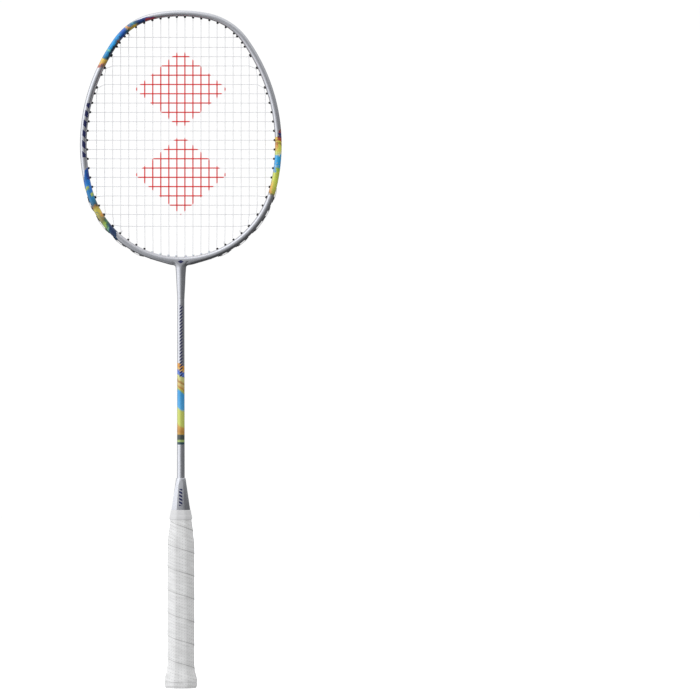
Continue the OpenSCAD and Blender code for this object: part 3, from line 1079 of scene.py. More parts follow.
@dataclass(frozen=True)
class PerforatedLeather(Finish):
    """White polyurethane grip leather: embossed, punched with rows of tiny holes, slightly grubby.

    The strip's own map gives metres along it and across it, so the holes follow the winding.
    """

    hole_pitch: float = 3.0
    hole_size: float = 0.8
    grain: float = 1.1
    strip_width: float = 26.0

    def dress(self, tree: Tree, shader: Node) -> None:
        """Add the punched holes, the pebble grain, the creases and the handling marks, with painted shade in
        the creases, in the holes and along the seams.

        Args:
            tree: The material's node tree.
            shader: Its Principled shader.
        """
        strip = add_node(tree, "UVMap", {"uv_map": "strip"}).outputs["UV"]
        place = add_node(tree, "TexCoord").outputs["Object"]
        cells = add_node(tree, "VectorMath SCALE", {"Scale": 1 / (self.hole_pitch * MM), 0: strip})
        part = add_node(tree, "VectorMath FRACTION", {0: cells})
        off = add_node(tree, "VectorMath SUBTRACT", {0: part, 1: (0.5, 0.5, 0.0)})
        far = add_node(tree, "VectorMath LENGTH", {0: off})
        edge = self.hole_size / self.hole_pitch / 2
        open_ = add_node(tree, "MapRange", {"From Min": edge * 1.35, "From Max": edge * 0.65, "Value": far})
        creases = add_node(
            tree, "TexNoise",
            {
                "Scale": 1 / (2.2 * MM), "Detail": 4.0, "Roughness": 0.6,
                "Vector": add_node(tree, "Mapping", {"Scale": (0.16, 1.0, 1.0), "Vector": strip}),
            },
        )
        pebble = add_node(tree, "TexVoronoi", {"Scale": 1 / (self.grain * MM), "Vector": strip})
        soil = add_node(tree, "TexNoise", {"Scale": 70.0, "Detail": 5.0, "Vector": place})
        tone = add_node(
            tree, "ValToRGB", {"stops": [(0.30, linear("DEDEDD")), (0.62, linear(self.colour))], "Fac": soil},
        )
        # Painted shade: the colour darkens in the troughs of the crease noise, where the bump sinks
        crease_shade = add_node(
            tree, "ValToRGB", {"stops": [(0.34, linear("E8E8E7")), (0.58, linear("FFFFFF"))], "Fac": creases},
        )
        shaded = add_node(tree, "Mix MULTIPLY", {0: 0.8, 6: tone, 7: crease_shade})
        # Painted shade: the punched holes are coloured a darker grey for the shade inside them
        holes_shaded = add_node(tree, "Mix MIX", {0: open_, 6: shaded, 7: linear("BCBCBB")})
        across = add_node(tree, "SeparateXYZ", {0: strip}).outputs[1]
        # Painted shade along the seams: darker at each turn's proud lower edge and just below the ledge of
        # the turn above, where its shadow falls
        seam_shade = add_node(
            tree, "ValToRGB",
            {
                "stops": [
                    (0.0, linear("D0D0CF")), (0.010, linear("E4E4E3")), (0.020, linear("FFFFFF")),
                    (0.85, linear("FFFFFF")), (0.880, linear("DCDCDB")), (1.0, linear("D0D0CF")),
                ],
                "Fac": add_node(tree, "MapRange", {"From Max": self.strip_width * MM, "Value": across}),
            },
        )
        edged = add_node(tree, "Mix MULTIPLY", {0: 1.0, 6: holes_shaded, 7: seam_shade})
        connect(shader, {"Base Color": edged})
        relief = add_node(tree, "Math MULTIPLY_ADD", {0: creases, 1: 0.5, 2: pebble})
        sunk = add_node(tree, "Math SUBTRACT", {0: relief, 1: open_})
        bump = add_node(tree, "Bump", {"Strength": 0.5, "Distance": 0.16 * MM, "Height": sunk})
        connect(shader, {"Normal": bump})


@dataclass(frozen=True)
class TurnedMetal(Finish):
    """Spun aluminium: fine rings round the middle, which draw the light into two soft fans."""

    ring: float = 0.25

    def dress(self, tree: Tree, shader: Node) -> None:
        """Add the turning rings, in colour and relief.

        Args:
            tree: The material's node tree.
            shader: Its Principled shader.
        """
        place = add_node(tree, "TexCoord").outputs["Object"]
        rings = add_node(
            tree, "TexWave",
            {
                "wave_type": "RINGS", "rings_direction": "Z", "Scale": 0.31 / (self.ring * MM),
                "Distortion": 0.8, "Vector": place,
            },
        )
        tone = add_node(
            tree, "ValToRGB", {"stops": [(0.0, linear("9FA1A6")), (1.0, linear(self.colour))], "Fac": rings},
        )
        connect(shader, {"Base Color": tone})
        bump = add_node(tree, "Bump", {"Strength": 0.3, "Distance": 0.02 * MM, "Height": rings})
        connect(shader, {"Normal": bump})


@dataclass(frozen=True)
class TurnedWood(Finish):
    """Bare limewood, milled and sanded: straight grain up the handle with soft growth lines."""

    grain: float = 1.6

    def dress(self, tree: Tree, shader: Node) -> None:
        """Add the grain.

        Args:
            tree: The material's node tree.
            shader: Its Principled shader.
        """
        place = add_node(tree, "TexCoord").outputs["Object"]
        drawn = add_node(tree, "Mapping", {"Scale": (1.0, 1.0, 0.05), "Vector": place})
        fibre = add_node(tree, "TexNoise", {"Scale": 1 / (self.grain * MM), "Detail": 6.0, "Vector": drawn})
        tone = add_node(
            tree, "ValToRGB",
            {"stops": [(0.35, linear("A98458")), (0.65, linear(self.colour))], "Fac": fibre},
        )
        connect(shader, {"Base Color": tone})
        bump = add_node(tree, "Bump", {"Strength": 0.3, "Distance": 0.08 * MM, "Height": fibre})
        connect(shader, {"Normal": bump})


@dataclass(frozen=True)
class MouldedCarbon(Finish):
    """Bare moulded carbon: a 2 mm twill of black tows under resin, seen only with the racket open."""

    tow: float = 2.0

    def dress(self, tree: Tree, shader: Node) -> None:
        """Add the twill.

        Args:
            tree: The material's node tree.
            shader: Its Principled shader.
        """
        place = add_node(tree, "TexCoord").outputs["Object"]
        turned = add_node(tree, "Mapping", {"Rotation": (0.0, math.radians(45), 0.0), "Vector": place})
        twill = add_node(
            tree, "TexChecker",
            {
                "Scale": 1 / (self.tow * MM), "Color1": linear("08080A"), "Color2": linear("1E1E22"),
                "Vector": turned,
            },
        )
        connect(shader, {"Base Color": twill})


class Shop:
    """Makes each finish once and hands it out by name."""

    def __init__(self) -> None:
        """Make every finish of the racket."""
        silver = {
            "colour": "C8CAD0", "metallic": 0.94, "roughness": 0.21, "coat": 0.5, "coat_roughness": 0.08,
        }
        self.head = HeadPaint(name="head_silver_lacquer", **silver).make()
        self.shaft = ShaftPaint(name="shaft_silver_lacquer", **silver).make()
        self.cap = CapPaint(name="cap_silver_lacquer", **silver).make()
        # Nylon 6 moulding, black: a soft gloss with a dull bloom where strings rub it
        self.black = Finish("moulded_black_nylon", "0B0B0D", roughness=0.38, ior=1.53).make()
        # Natural nylon moulding: milky, and the silver shows through it
        self.clear = Finish(
            "moulded_natural_nylon", "DADCDE", roughness=0.35, ior=1.53, subsurface=0.2,
        ).make()
        self.string = StringNylon("braided_string_nylon", "E0E0E2", roughness=0.45, ior=1.5).make()
        self.leather = PerforatedLeather("perforated_grip_leather", "E7E7E6", roughness=0.62).make()
        # Vinyl-coated cloth tape: smoother and a touch brighter than the grip
        self.tape = Finish("vinyl_end_tape", "D2D2D2", roughness=0.45, ior=1.5).make()
        # Moulded ABS, satin white, with the fine spark of a mould
        self.butt = Finish("moulded_white_abs", "E6E6E5", roughness=0.42, ior=1.54).make()
        self.badge = TurnedMetal("spun_aluminium", "C9CBD0", metallic=1.0, roughness=0.32).make()
        self.wood = TurnedWood("bare_limewood", "D9B98A", roughness=0.7).make()
        self.carbon = MouldedCarbon("moulded_carbon_twill", "101013", roughness=0.28, coat=0.4).make()
        # Drawn steel wire: bright, with light drawing marks
        self.wire = Finish("drawn_steel_wire", "B5B5B8", metallic=1.0, roughness=0.3).make()


# -------- The head --------


@dataclass
class HeadFrame:
    """The head tube with its throat and shaft sleeve, as one moulding."""

    plan: StringPlan
    depth: float = 10.2 * MM
    boxiness: float = 2.6  # the superellipse's power: 2 is an ellipse
    rim_share: float = 0.985  # where the groove's rims stand, as a share of half the width
    ring_gap: float = 2.4 * MM  # along the tube, from one ring of vertices to the next
    groove_half: float = 1.75 * MM
    groove_deep: float = 1.35 * MM
    throat_half: float = 9.6 * MM
    throat_top: float = 440.0 * MM  # the sleeve's opening lies below this
    sleeve_foot: float = 388.0 * MM
    fairing: Stations = ((0.0, 1.9), (9.6, 1.75), (14.0, 1.15), (20.0, 0.5), (28.0, 0.1), (36.0, 0.0))
    sleeve: Stations = (
        (388.0, 3.62), (392.0, 3.78), (397.0, 4.08), (403.0, 4.38), (409.0, 4.62), (414.0, 4.92),
        (418.0, 5.25),
    )

    def half_section(self) -> list[tuple[float, float]]:
        """Shape half of the tube's section, from the inner face round to the groove's floor.

        Returns:
            (outwards, depth) pairs, as fractions of half the width and half the depth for the
            wall, and in metres past the wall for the groove.
        """
        points = []
        for i in range(1, 17):
            turn = math.pi * i / 17.0
            inner, outer = math.cos(turn), math.sin(turn)
            across = -math.copysign(abs(inner) ** (2 / self.boxiness), inner)
            deep = abs(outer) ** (2 / self.boxiness)
            points.append((across, deep))
        return [p for p in points if not (p[0] > 0 and p[1] < self.groove_half * 1.5 / (self.depth / 2))]

    def profile(self, width: float) -> list[tuple[float, float]]:
        """Return the whole section as (outwards from the tube's middle, depth) in metres.

        Args:
            width: The tube's width.

        Returns:
            The closed section, from the inner face, through the front, the groove and the back.
        """
        half_w, half_d = width / 2, self.depth / 2
        wall = [(u * half_w, -v * half_d) for u, v in self.half_section()]
        g, deep = self.groove_half, self.groove_deep
        rim = half_w * self.rim_share
        groove = [
            (rim - 0.05 * MM, -(g + 0.75 * MM)), (rim, -(g + 0.3 * MM)), (rim - 0.12 * MM, -(g + 0.05 * MM)),
            (rim - 0.45 * MM, -g), (rim - deep + 0.25 * MM, -(g - 0.15 * MM)), (rim - deep, -(g - 0.5 * MM)),
        ]
        front = [(-half_w, 0.0)] + wall + groove
        back = [(u, -v) for u, v in reversed(wall + groove)]
        return front + back

    def build(self, paint: Material) -> Piece:
        """Spin the tube round its arcs, shape it, and grow the sleeve from it.

        Args:
            paint: The head's material.

        Returns:
            The finished piece.
        """
        outline = self.plan.outline
        top = self.plan.tube_width_at(0.0)
        mesh = bmesh.new()
        section = self.profile(top)
        mesh.verts.layers.float.new("outward")
        places = [outline.point(0.0, top / 2 - u, v) for u, v in section]
        last = closed_profile(mesh, places)
        right = outline.arcs()
        route = [(arc, 1.0) for arc in right] + [(arc, -1.0) for arc in reversed(right)]
        for arc, side in route:
            sweep = math.radians(arc.end - arc.start)
            steps = max(4, round(sweep * arc.radius / self.ring_gap))
            spun = bmesh.ops.spin(
                mesh, geom=last, cent=Vector((side * arc.centre_x, 0.0, arc.centre_z)), axis=THROUGH,
                dvec=Vector(), angle=sweep, steps=steps, use_merge=False, use_duplicate=False,
            )
            last = spun["geom_last"]
        bmesh.ops.remove_doubles(mesh, verts=mesh.verts[:], dist=0.002 * MM)
        self.shape(mesh, top)
        self.grow_sleeve(mesh)
        piece = finish_mesh(mesh, "head_frame_shell", paint, sharp=50.0)
        return place_piece(piece, "frame_paint", "head_frame")

    def shape(self, mesh: BMesh, top: float) -> None:
        """Give the tube its changing width, close the groove at the throat and add the fairing.

        Args:
            mesh: The spun tube.
            top: The width that it was spun with.
        """
        outline = self.plan.outline
        low = outline.arcs()[-1]
        side = mesh.verts.layers.float["outward"]
        for vert in mesh.verts:
            heading, inset = outline.locate(vert.co)
            outward = top / 2 - inset
            width = self.plan.tube_width_at(heading)
            reach = outward * width / top
            sunk = top / 2 * self.rim_share - outward
            if abs(vert.co.y) < self.groove_half and 0.2 * MM < sunk < self.groove_deep + 0.3 * MM:
                reach = width / 2 * self.rim_share - sunk  # the groove keeps its true depth
            if outward > 0 and abs(heading) > self.plan.throat_from:
                x = low.radius * math.sin(math.radians(180 - abs(heading))) / MM
                fill = smoothstep(14.5, 10.2, x)
                if abs(vert.co.y) < self.groove_half and sunk > 0:
                    reach += sunk * fill
                bulge = between(self.fairing, x) * MM
                reach += bulge * smoothstep(0.0, width / 2, reach)
            vert[side] = max(-1.0, min(1.0, 2 * reach / width))
            vert.co = outline.point(heading, width / 2 - reach, vert.co.y)

    def grow_sleeve(self, mesh: BMesh) -> None:
        """Open the tube under the throat and draw the opening down into the round sleeve.

        Args:
            mesh: The shaped tube.
        """
        outline = self.plan.outline
        doomed = []
        for face in mesh.faces:
            centre = face.calc_center_median()
            if centre.z > self.throat_top or abs(centre.x) > self.throat_half:
                continue
            heading, inset = outline.locate(centre)
            if inset < self.plan.tube_width_at(heading) / 2 - 0.1 * MM:
                doomed.append(face)
        bmesh.ops.delete(mesh, geom=doomed, context="FACES")
        rim = [edge for edge in mesh.edges if edge.is_boundary and edge.verts[0].co.z < self.throat_top]
        loop = self.ordered(rim)
        start = [vert.co.copy() for vert in loop]
        angles = self.ring_angles(start)
        foot_z = self.sleeve[-1][0] * MM
        foot_r = self.sleeve[-1][1] * MM
        inflow = []
        for place in start:
            heading, _ = outline.locate(place)
            share = abs(place.x) / self.throat_half
            tangent = Vector((-math.copysign(min(1.0, share), place.x), 0.0, 0.0))
            normal = outline.outward(heading)
            tangent -= normal * tangent.dot(normal)
            side = smoothstep(0.55, 0.98, share)
            inflow.append(tangent * side * 3.6 * MM - UP * (1 - side) * 3.0 * MM)
        current = loop
        bends, rungs = 12, 14
        for step in range(1, bends + 1):
            t = step / bends
            current = self.extrude_ring(mesh, current)
            for vert, place, angle, flow in zip(current, start, angles, inflow):
                foot = at_angle(foot_r, angle, foot_z)
                a, b, c = (1 - t) ** 3, 3 * t * (1 - t) ** 2, 3 * t * t * (1 - t)
                vert.co = (place * a + (place + flow) * b + (foot + UP * 2.6 * MM) * c + foot * t**3)
        for step in range(1, rungs + 1):
            z = foot_z + (self.sleeve_foot - foot_z) * step / rungs
            radius = between([(place * MM, r * MM) for place, r in self.sleeve], z)
            current = self.extrude_ring(mesh, current)
            for vert, angle in zip(current, angles):
                vert.co = at_angle(radius, angle, z)
        # A rolled foot that closes on to the shaft
        for radius, drop in ((3.6, 0.12), (3.5, 0.2), (3.2, 0.2)):
            current = self.extrude_ring(mesh, current)
            for vert, angle in zip(current, angles):
                vert.co = at_angle(radius * MM, angle, self.sleeve_foot - drop * MM)

    def ordered(self, rim: Sequence[BMEdge]) -> list[BMVert]:
        """Walk a closed rim.

        Args:
            rim: The rim's edges, in any order.

        Returns:
            Its vertices in order, counterclockwise seen from above.
        """
        links: dict[BMVert, list[BMVert]] = {}
        for edge in rim:
            a, b = edge.verts
            links.setdefault(a, []).append(b)
            links.setdefault(b, []).append(a)
        first = max(links, key=lambda v: (round(v.co.x, 5), -abs(v.co.y)))
        walk = [first, max(links[first], key=lambda v: v.co.y)]
        while True:
            following = [v for v in links[walk[-1]] if v is not walk[-2]][0]
            if following is first:
                return walk
            walk.append(following)

    def ring_angles(self, places: Sequence[Vector]) -> list[float]:
        """Share a full turn among the rim's vertices, by the distance between them.

        Args:
            places: The rim's points in order, the first at the far right.

        Returns:
            An angle for each point.
        """
        gaps = [(places[(i + 1) % len(places)] - p).length for i, p in enumerate(places)]
        total = sum(gaps)
        angles, run = [], 0.0
        for place, gap in zip(places, gaps):
            even = FULL * run / total
            true = math.atan2(place.y * 1.25, place.x) % FULL
            if true - even > math.pi:
                true -= FULL
            angles.append(0.6 * even + 0.4 * true)
            run += gap
        return angles

    def extrude_ring(self, mesh: BMesh, ring: Sequence[BMVert]) -> list[BMVert]:
        """Extrude a ring of edges and return its new vertices in the same order.

        Args:
            mesh: The mesh.
            ring: The ring's vertices in order.

        Returns:
            The new ring's vertices, each joined to the one in the same place in the old ring.
        """
        edges = []
        for a, b in zip(ring, list(ring[1:]) + [ring[0]]):
            edges.append(mesh.edges.get((a, b)))
        made = bmesh.ops.extrude_edge_only(mesh, edges=edges)["geom"]
        fresh = {v for v in made if isinstance(v, BMVert)}
        return [next(e.other_vert(v) for e in v.link_edges if e.other_vert(v) in fresh) for v in ring]


class Side(Enum):
    """Which half of the head a grommet is on."""

    LEFT = -1.0
    RIGHT = 1.0


@dataclass
class Grommets:
    """The moulded sleeves that line the string holes."""

    plan: StringPlan
    sides: int = 14

    def lathe(self, mesh: BMesh, hole: Hole, side: Side) -> None:
        """Turn one grommet and set it in its hole.

        Args:
            mesh: The mesh that holds the group.
            hole: The hole.
            side: Which half it is on.
        """
        outline = self.plan.outline
        sign = side.value
        outside = outline.point(sign * hole.exit, self.plan.seat_inset(hole.exit))
        inside = outline.point(sign * hole.mouth, self.plan.nub_inset(hole.mouth))
        length = (inside - outside).length
        flange, barrel = (2.35, 1.42) if hole.shared else (1.9, 1.15)
        bore = 0.95 if hole.shared else 0.5
        lip = length / MM
        profile = [
            (bore + 0.1, 0.12), (bore + 0.35, -0.08), (flange - 0.35, 0.0), (flange - 0.05, 0.14),
            (flange, 0.32), (flange - 0.15, 0.48), (barrel + 0.25, 0.55), (barrel + 0.05, 0.8),
            (barrel + 0.02, lip - 1.3), (barrel, lip - 0.75), (barrel - 0.12, lip - 0.3),
            (barrel - 0.32, lip - 0.06), (bore + 0.16, lip), (bore, lip - 0.14), (bore, lip * 0.5),
        ]
        mine = turn_full(mesh, profile, self.sides)
        # The flange is an oval that lies along the groove
        for vert in mine:
            if vert.co.z < 0.6 * MM:
                out = math.hypot(vert.co.x, vert.co.y) / MM
                grow = smoothstep(barrel, flange, out)
                vert.co.x *= 1 + 0.45 * grow
                vert.co.y *= 1 - 0.22 * grow
        away = (inside - outside).normalized()
        turn = Matrix((Vector(THROUGH).cross(away), THROUGH, away)).transposed()
        bmesh.ops.transform(mesh, matrix=Matrix.Translation(outside) @ turn.to_4x4(), verts=mine)

    def build(self, shop: Shop) -> list[Piece]:
        """Build every group.

        Args:
            shop: The finishes.

        Returns:
            The finished pieces.
        """
        plan = self.plan
        both = (Side.LEFT, Side.RIGHT)
        top_taken = {k for k, _ in plan.top_shared}
        low_taken = {k for k, _ in plan.low_shared}
        cross_taken = {j for _, j in plan.top_shared + plan.low_shared}
        crown = [plan.hole(plan.main_top(k)) for k in range(plan.half_mains) if k not in top_taken]
        low = [plan.hole(plan.main_low(k)) for k in range(plan.half_mains) if k not in low_taken]
        cross = [plan.hole(plan.cross_side(j)) for j in range(plan.crosses) if j not in cross_taken]
        shared = [plan.hole(plan.main_top(k), True) for k, _ in plan.top_shared]
        shared += [plan.hole(plan.main_low(k), True) for k, _ in plan.low_shared]
        left, right = (Side.LEFT,), (Side.RIGHT,)
        black, clear = (shop.black, "grommet_black"), (shop.clear, "grommet_clear")
        groups = (
            ("grommets_crown", "crown_grommets", crown, both, black),
            ("grommets_left", "left_grommets", cross, left, black),
            ("grommets_right", "right_grommets", cross, right, black),
            ("grommets_lower", "lower_grommets", low[4:], both, black),
            ("grommets_throat", "throat_grommets", low[:4], both, clear),
            ("grommets_shared_left", "left_shared_grommets", shared, left, black),
            ("grommets_shared_right", "right_shared_grommets", shared, right, black),
        )
        pieces = []
        for name, node, holes, sides, (material, slot) in groups:
            mesh = bmesh.new()
            for hole in holes:
                for side in sides:
                    self.lathe(mesh, hole, side)
            pieces.append(place_piece(finish_mesh(mesh, name, material, sharp=60.0), slot, node))
        return pieces


@dataclass
class StringBed:
    """The two strings, woven over and under each other, and their tie-off knots."""

    plan: StringPlan
    radius: float = 0.35 * MM
    weave: float = 0.36 * MM
    aside: float = 0.42 * MM  # how far off the middle two strings lie where they share a hole
    groove_step: float = 1.6  # degrees between points along the groove
    root_depth: float = 2.2 * MM  # how deep in the throat the main string changes sides
    ink_swell: float = 1.8

    def cross_or_main(
        self, fixed: float, crossings: Sequence[float], first_sign: float, upright: bool,
    ) -> list[Vector]:
        """Run one straight string of the bed, waving over and under those that it crosses.

        Args:
            fixed: Its X if it is upright, or else its Z.
            crossings: Where it meets the others, in order along it.
            first_sign: +1 if it passes behind the first, -1 if in front.
            upright: Whether it is a main string.

        Returns:
            Points from a little before the first crossing to a little after the last.
        """
        points = []
        samples = 4
        for i in range(len(crossings)):
            here = crossings[i]
            sign = first_sign * (-1) ** i
            points.append((here, self.weave * sign))
            if i + 1 < len(crossings):
                step = crossings[i + 1] - here
                for s in range(1, samples):
                    t = s / samples
                    points.append((here + step * t, self.weave * sign * math.cos(math.pi * t)))
        if upright:
            return [Vector((fixed, depth, along)) for along, depth in points]
        return [Vector((along, depth, fixed)) for along, depth in points]

    def through(self, heading: float, depth: float) -> list[Vector]:
        """Follow a hole from its mouth to its exit, signed heading for the side."""
        outline = self.plan.outline
        leave = self.plan.signed_exit(heading)
        nub, seat = self.plan.nub_inset(heading), self.plan.seat_inset(leave)
        return [
            outline.point(heading, nub + 0.35 * MM, depth), outline.point(heading, nub - 0.6 * MM, depth),
            outline.point(leave, seat + 0.15 * MM, depth), outline.point(leave, seat - self.radius, depth),
        ]

    def along_groove(self, start: float, end: float, depth: float) -> list[Vector]:
        """Lie in the groove between two holes, given by their signed mouth headings."""
        outline = self.plan.outline
        leave, arrive = self.plan.signed_exit(start), self.plan.signed_exit(end)
        count = max(3, round(abs(arrive - leave) / self.groove_step))
        drop = self.radius + 0.08 * MM
        headings = [leave + (arrive - leave) * i / count for i in range(1, count)]
        return [outline.point(h, self.plan.seat_inset(h) - drop, depth) for h in headings]

    def main_route(self) -> list[Vector]:
        """Lace the main string from the far left to the far right.

        Returns:
            Its whole route.
        """
        plan = self.plan
        crossings = [plan.cross_z(j) for j in reversed(range(plan.crosses))]
        columns = list(range(-plan.half_mains, plan.half_mains))
        route: list[Vector] = []
        for order, column in enumerate(columns):
            side, k = plan.column(column)
            x = side * plan.main_x(k)
            top, low = side * plan.main_top(k), side * plan.main_low(k)
            if k == 0:
                top = side * max(abs(top), 0.01)
            highest, lowest = (plan.outline.point(end, plan.mouth_inset()).z for end in (top, low))
            met = [z for z in crossings if lowest + plan.clear < z < highest - plan.clear]
            skipped = crossings.index(met[0])
            sign = 1.0 if (order + skipped) % 2 == 0 else -1.0
            low_depth = self.aside if k in {m for m, _ in plan.low_shared} else 0.0
            top_depth = self.aside if k in {m for m, _ in plan.top_shared} else 0.0
            up = self.through(low, low_depth)[::-1] + self.cross_or_main(x, met, sign, True)
            up += self.through(top, top_depth)
            rising = order % 2 == 0
            if route:
                before, mate = plan.column(columns[order - 1])
                ends = plan.main_low if rising else plan.main_top
                a, b = before * ends(mate), side * ends(k)
                crosses_over = rising and before != side
                route += self.round_throat(a, b) if crosses_over else self.along_groove(a, b, self.aside)
            route += up if rising else up[::-1]
        return route

    def round_throat(self, start: float, end: float) -> list[Vector]:
        """Cross from one side of the throat to the other behind the sleeve's root."""
        outline = self.plan.outline
        leave, arrive = self.plan.signed_exit(start), self.plan.signed_exit(end)
        first, last = outline.point(leave, self.root_depth), outline.point(arrive, self.root_depth)
        return [first.lerp(last, t) for t in (0.0, 0.5, 1.0)]

    def cross_route(self) -> list[Vector]:
        """Lace the cross string from the top down.

        Returns:
            Its whole route.
        """
        plan = self.plan
        columns = [plan.column(place) for place in range(-plan.half_mains, plan.half_mains)]
        mains = [side * plan.main_x(k) for side, k in columns]
        taken = {j for _, j in plan.top_shared + plan.low_shared}
        route: list[Vector] = []
        for j in range(plan.crosses):
            heading = plan.cross_side(j)
            z = plan.cross_z(j)
            reach = plan.outline.point(heading, plan.mouth_inset()).x
            met = [x for x in mains if abs(x) < reach - plan.clear]
            skipped = mains.index(met[0])
            from_low = plan.crosses - 1 - j
            sign = -1.0 if (skipped + from_low) % 2 == 0 else 1.0
            depth = -self.aside if j in taken else 0.0
            across = self.through(-heading, depth)[::-1] + self.cross_or_main(z, met, sign, False)
            across += self.through(heading, depth)
            rightward = j % 2 == 0
            if route:
                before, side = plan.cross_side(j - 1), -1.0 if rightward else 1.0
                route += self.along_groove(side * before, side * heading, -self.aside)
            route += across if rightward else across[::-1]
        return route

    def knot(self, heading: float, depth: float) -> list[Vector]:
        """Wind a tie-off knot round the mouth of a hole.

        Args:
            heading: The hole's signed heading.
            depth: The depth at which the knot's tail points.

        Returns:
            The knot's route: two and a half small turns and a cut tail.
        """
        outline = self.plan.outline
        middle = outline.point(heading, self.plan.nub_inset(heading) + 0.62 * MM)
        out = outline.outward(heading)
        cross = out.cross(THROUGH)
        points = []
        for i in range(41):
            turn = FULL * 2.5 * i / 40
            reach = (0.46 + 0.08 * math.sin(turn * 0.5)) * MM
            points.append(
                middle + cross * reach * math.cos(turn) + THROUGH * reach * math.sin(turn)
                - out * (0.5 * i / 40 * MM),
            )
        tail = points[-1]
        points.append(tail + (cross * 0.5 - out * 0.7 + THROUGH * math.copysign(0.5, depth)) * MM)
        points.append(points[-1] + (cross * 0.4 - out * 0.9) * MM)
        return points

    def build(self, nylon: Material) -> list[Piece]:
        """Build the strings and their knots.

        Args:
            nylon: The string's material.

        Returns:
            The finished pieces.
        """
        plan = self.plan

        def inked(place: Vector) -> float:
            """Say how much the dried ink thickens the string."""
            return self.ink_swell if STENCIL.inked(place) else 1.0

        mains = round_cord("string_mains", [self.main_route()], self.radius, nylon, swell=inked)
        crosses = round_cord("string_crosses", [self.cross_route()], self.radius, nylon, swell=inked)
        main_ties = [self.knot(plan.main_low(7), 1.0), self.knot(-plan.main_low(7), 1.0)]
        cross_ties = [self.knot(-plan.main_top(6), -1.0), self.knot(plan.main_low(5), -1.0)]
        first = round_cord("knots_mains", main_ties, self.radius * 0.95, nylon)
        second = round_cord("knots_crosses", cross_ties, self.radius * 0.95, nylon)
        return [
            place_piece(mains, "string", "main_string"), place_piece(crosses, "string", "cross_string"),
            place_piece(first, "string", "main_knots"), place_piece(second, "string", "cross_knots"),
        ]


# -------- The shaft and the handle --------


@dataclass
class Shaft:
    """The thin round shaft."""

    foot: float = 205.0 * MM
    head: float = 392.0 * MM
    foot_radius: float = 3.82 * MM
    head_radius: float = 3.52 * MM
    rungs: int = 40

    def build(self, paint: Material) -> Piece:
        """Spin the shaft.

        Args:
            paint: Its material.

        Returns:
            The finished piece.
        """
        mesh = bmesh.new()
        profile = [(0.0, self.foot / MM)]
        for i in range(self.rungs + 1):
            t = i / self.rungs
            radius = self.foot_radius + (self.head_radius - self.foot_radius) * t
            profile.append((radius / MM, (self.foot + (self.head - self.foot) * t) / MM))
        profile.append((0.0, self.head / MM))
        turn_full(mesh, profile, 48, closed=False)
        return place_piece(finish_mesh(mesh, "shaft_tube", paint), "frame_paint", "shaft")


@dataclass
class ConeCap:
    """The cap between the handle and the shaft: flats cut on a cone, ending in pointed arches."""

    foot: float = 177.3 * MM
    head: float = 208.6 * MM
    foot_radius: float = 9.9 * MM
    head_radius: float = 4.72 * MM
    flats_end: float = 209.6 * MM
    crisp_turn: float = math.radians(14)

    def build(self, paint: Material) -> Piece:
        """Cut the flats from a cone, soften the edges and add the rolled lip.

        Args:
            paint: Its material.

        Returns:
            The finished piece.
        """
        mesh = bmesh.new()
        bmesh.ops.create_cone(
            mesh, cap_ends=True, cap_tris=False, segments=96, radius1=self.foot_radius,
            radius2=self.head_radius, depth=self.head - self.foot,
            matrix=Matrix.Translation((0.0, 0.0, (self.head + self.foot) / 2)),
        )
        ring = [e for e in mesh.edges if abs(e.verts[0].co.z - e.verts[1].co.z) > 1 * MM]
        bmesh.ops.subdivide_edges(mesh, edges=ring, cuts=24, use_grid_fill=True)
        wide, deep, corner = 9.3 * MM, 7.75 * MM, 8.35 * MM
        rise = (self.flats_end - self.foot) / (self.head - self.foot)
        end = self.foot_radius + (self.head_radius - self.foot_radius) * rise
        for turn in range(8):
            reach = (wide, corner, deep, corner)[turn % 4]
            angle = math.radians(45 * turn)
            slope = (end - reach) / (self.flats_end - self.foot)
            flat = Vector((math.cos(angle), math.sin(angle), -slope)).normalized()
            on_it = at_angle(reach, angle, self.foot)
            cut = bmesh.ops.bisect_plane(
                mesh, geom=mesh.verts[:] + mesh.edges[:] + mesh.faces[:], dist=1e-6, plane_co=on_it,
                plane_no=flat, clear_outer=True,
            )
            edges = [g for g in cut["geom_cut"] if isinstance(g, BMEdge)]
            bmesh.ops.edgeloop_fill(mesh, edges=edges)
        bmesh.ops.remove_doubles(mesh, verts=mesh.verts[:], dist=0.01 * MM)
        bmesh.ops.recalc_face_normals(mesh, faces=mesh.faces[:])
        crisp = []
        for edge in mesh.edges:
            turned = len(edge.link_faces) == 2 and edge.calc_face_angle(0.0) > self.crisp_turn
            if turned and edge.calc_length() > 0.05 * MM:
                crisp.append(edge)
        bmesh.ops.bevel(
            mesh, geom=crisp, offset=0.22 * MM, segments=2, profile=0.5, affect="EDGES", clamp_overlap=True,
            material=-1,
        )
        self.lip(mesh)
        return place_piece(finish_mesh(mesh, "cone_cap_shell", paint, sharp=28.0), "cap_paint", "cone_cap")

    def lip(self, mesh: BMesh) -> None:
        """Turn the small rolled lip that grips the shaft."""
        stations = (
            (3.7, 208.2), (4.74, 208.3), (4.78, 208.6), (4.62, 208.95), (4.3, 209.2), (3.95, 209.25),
            (3.7, 209.1),
        )
        turn_full(mesh, stations, 48)


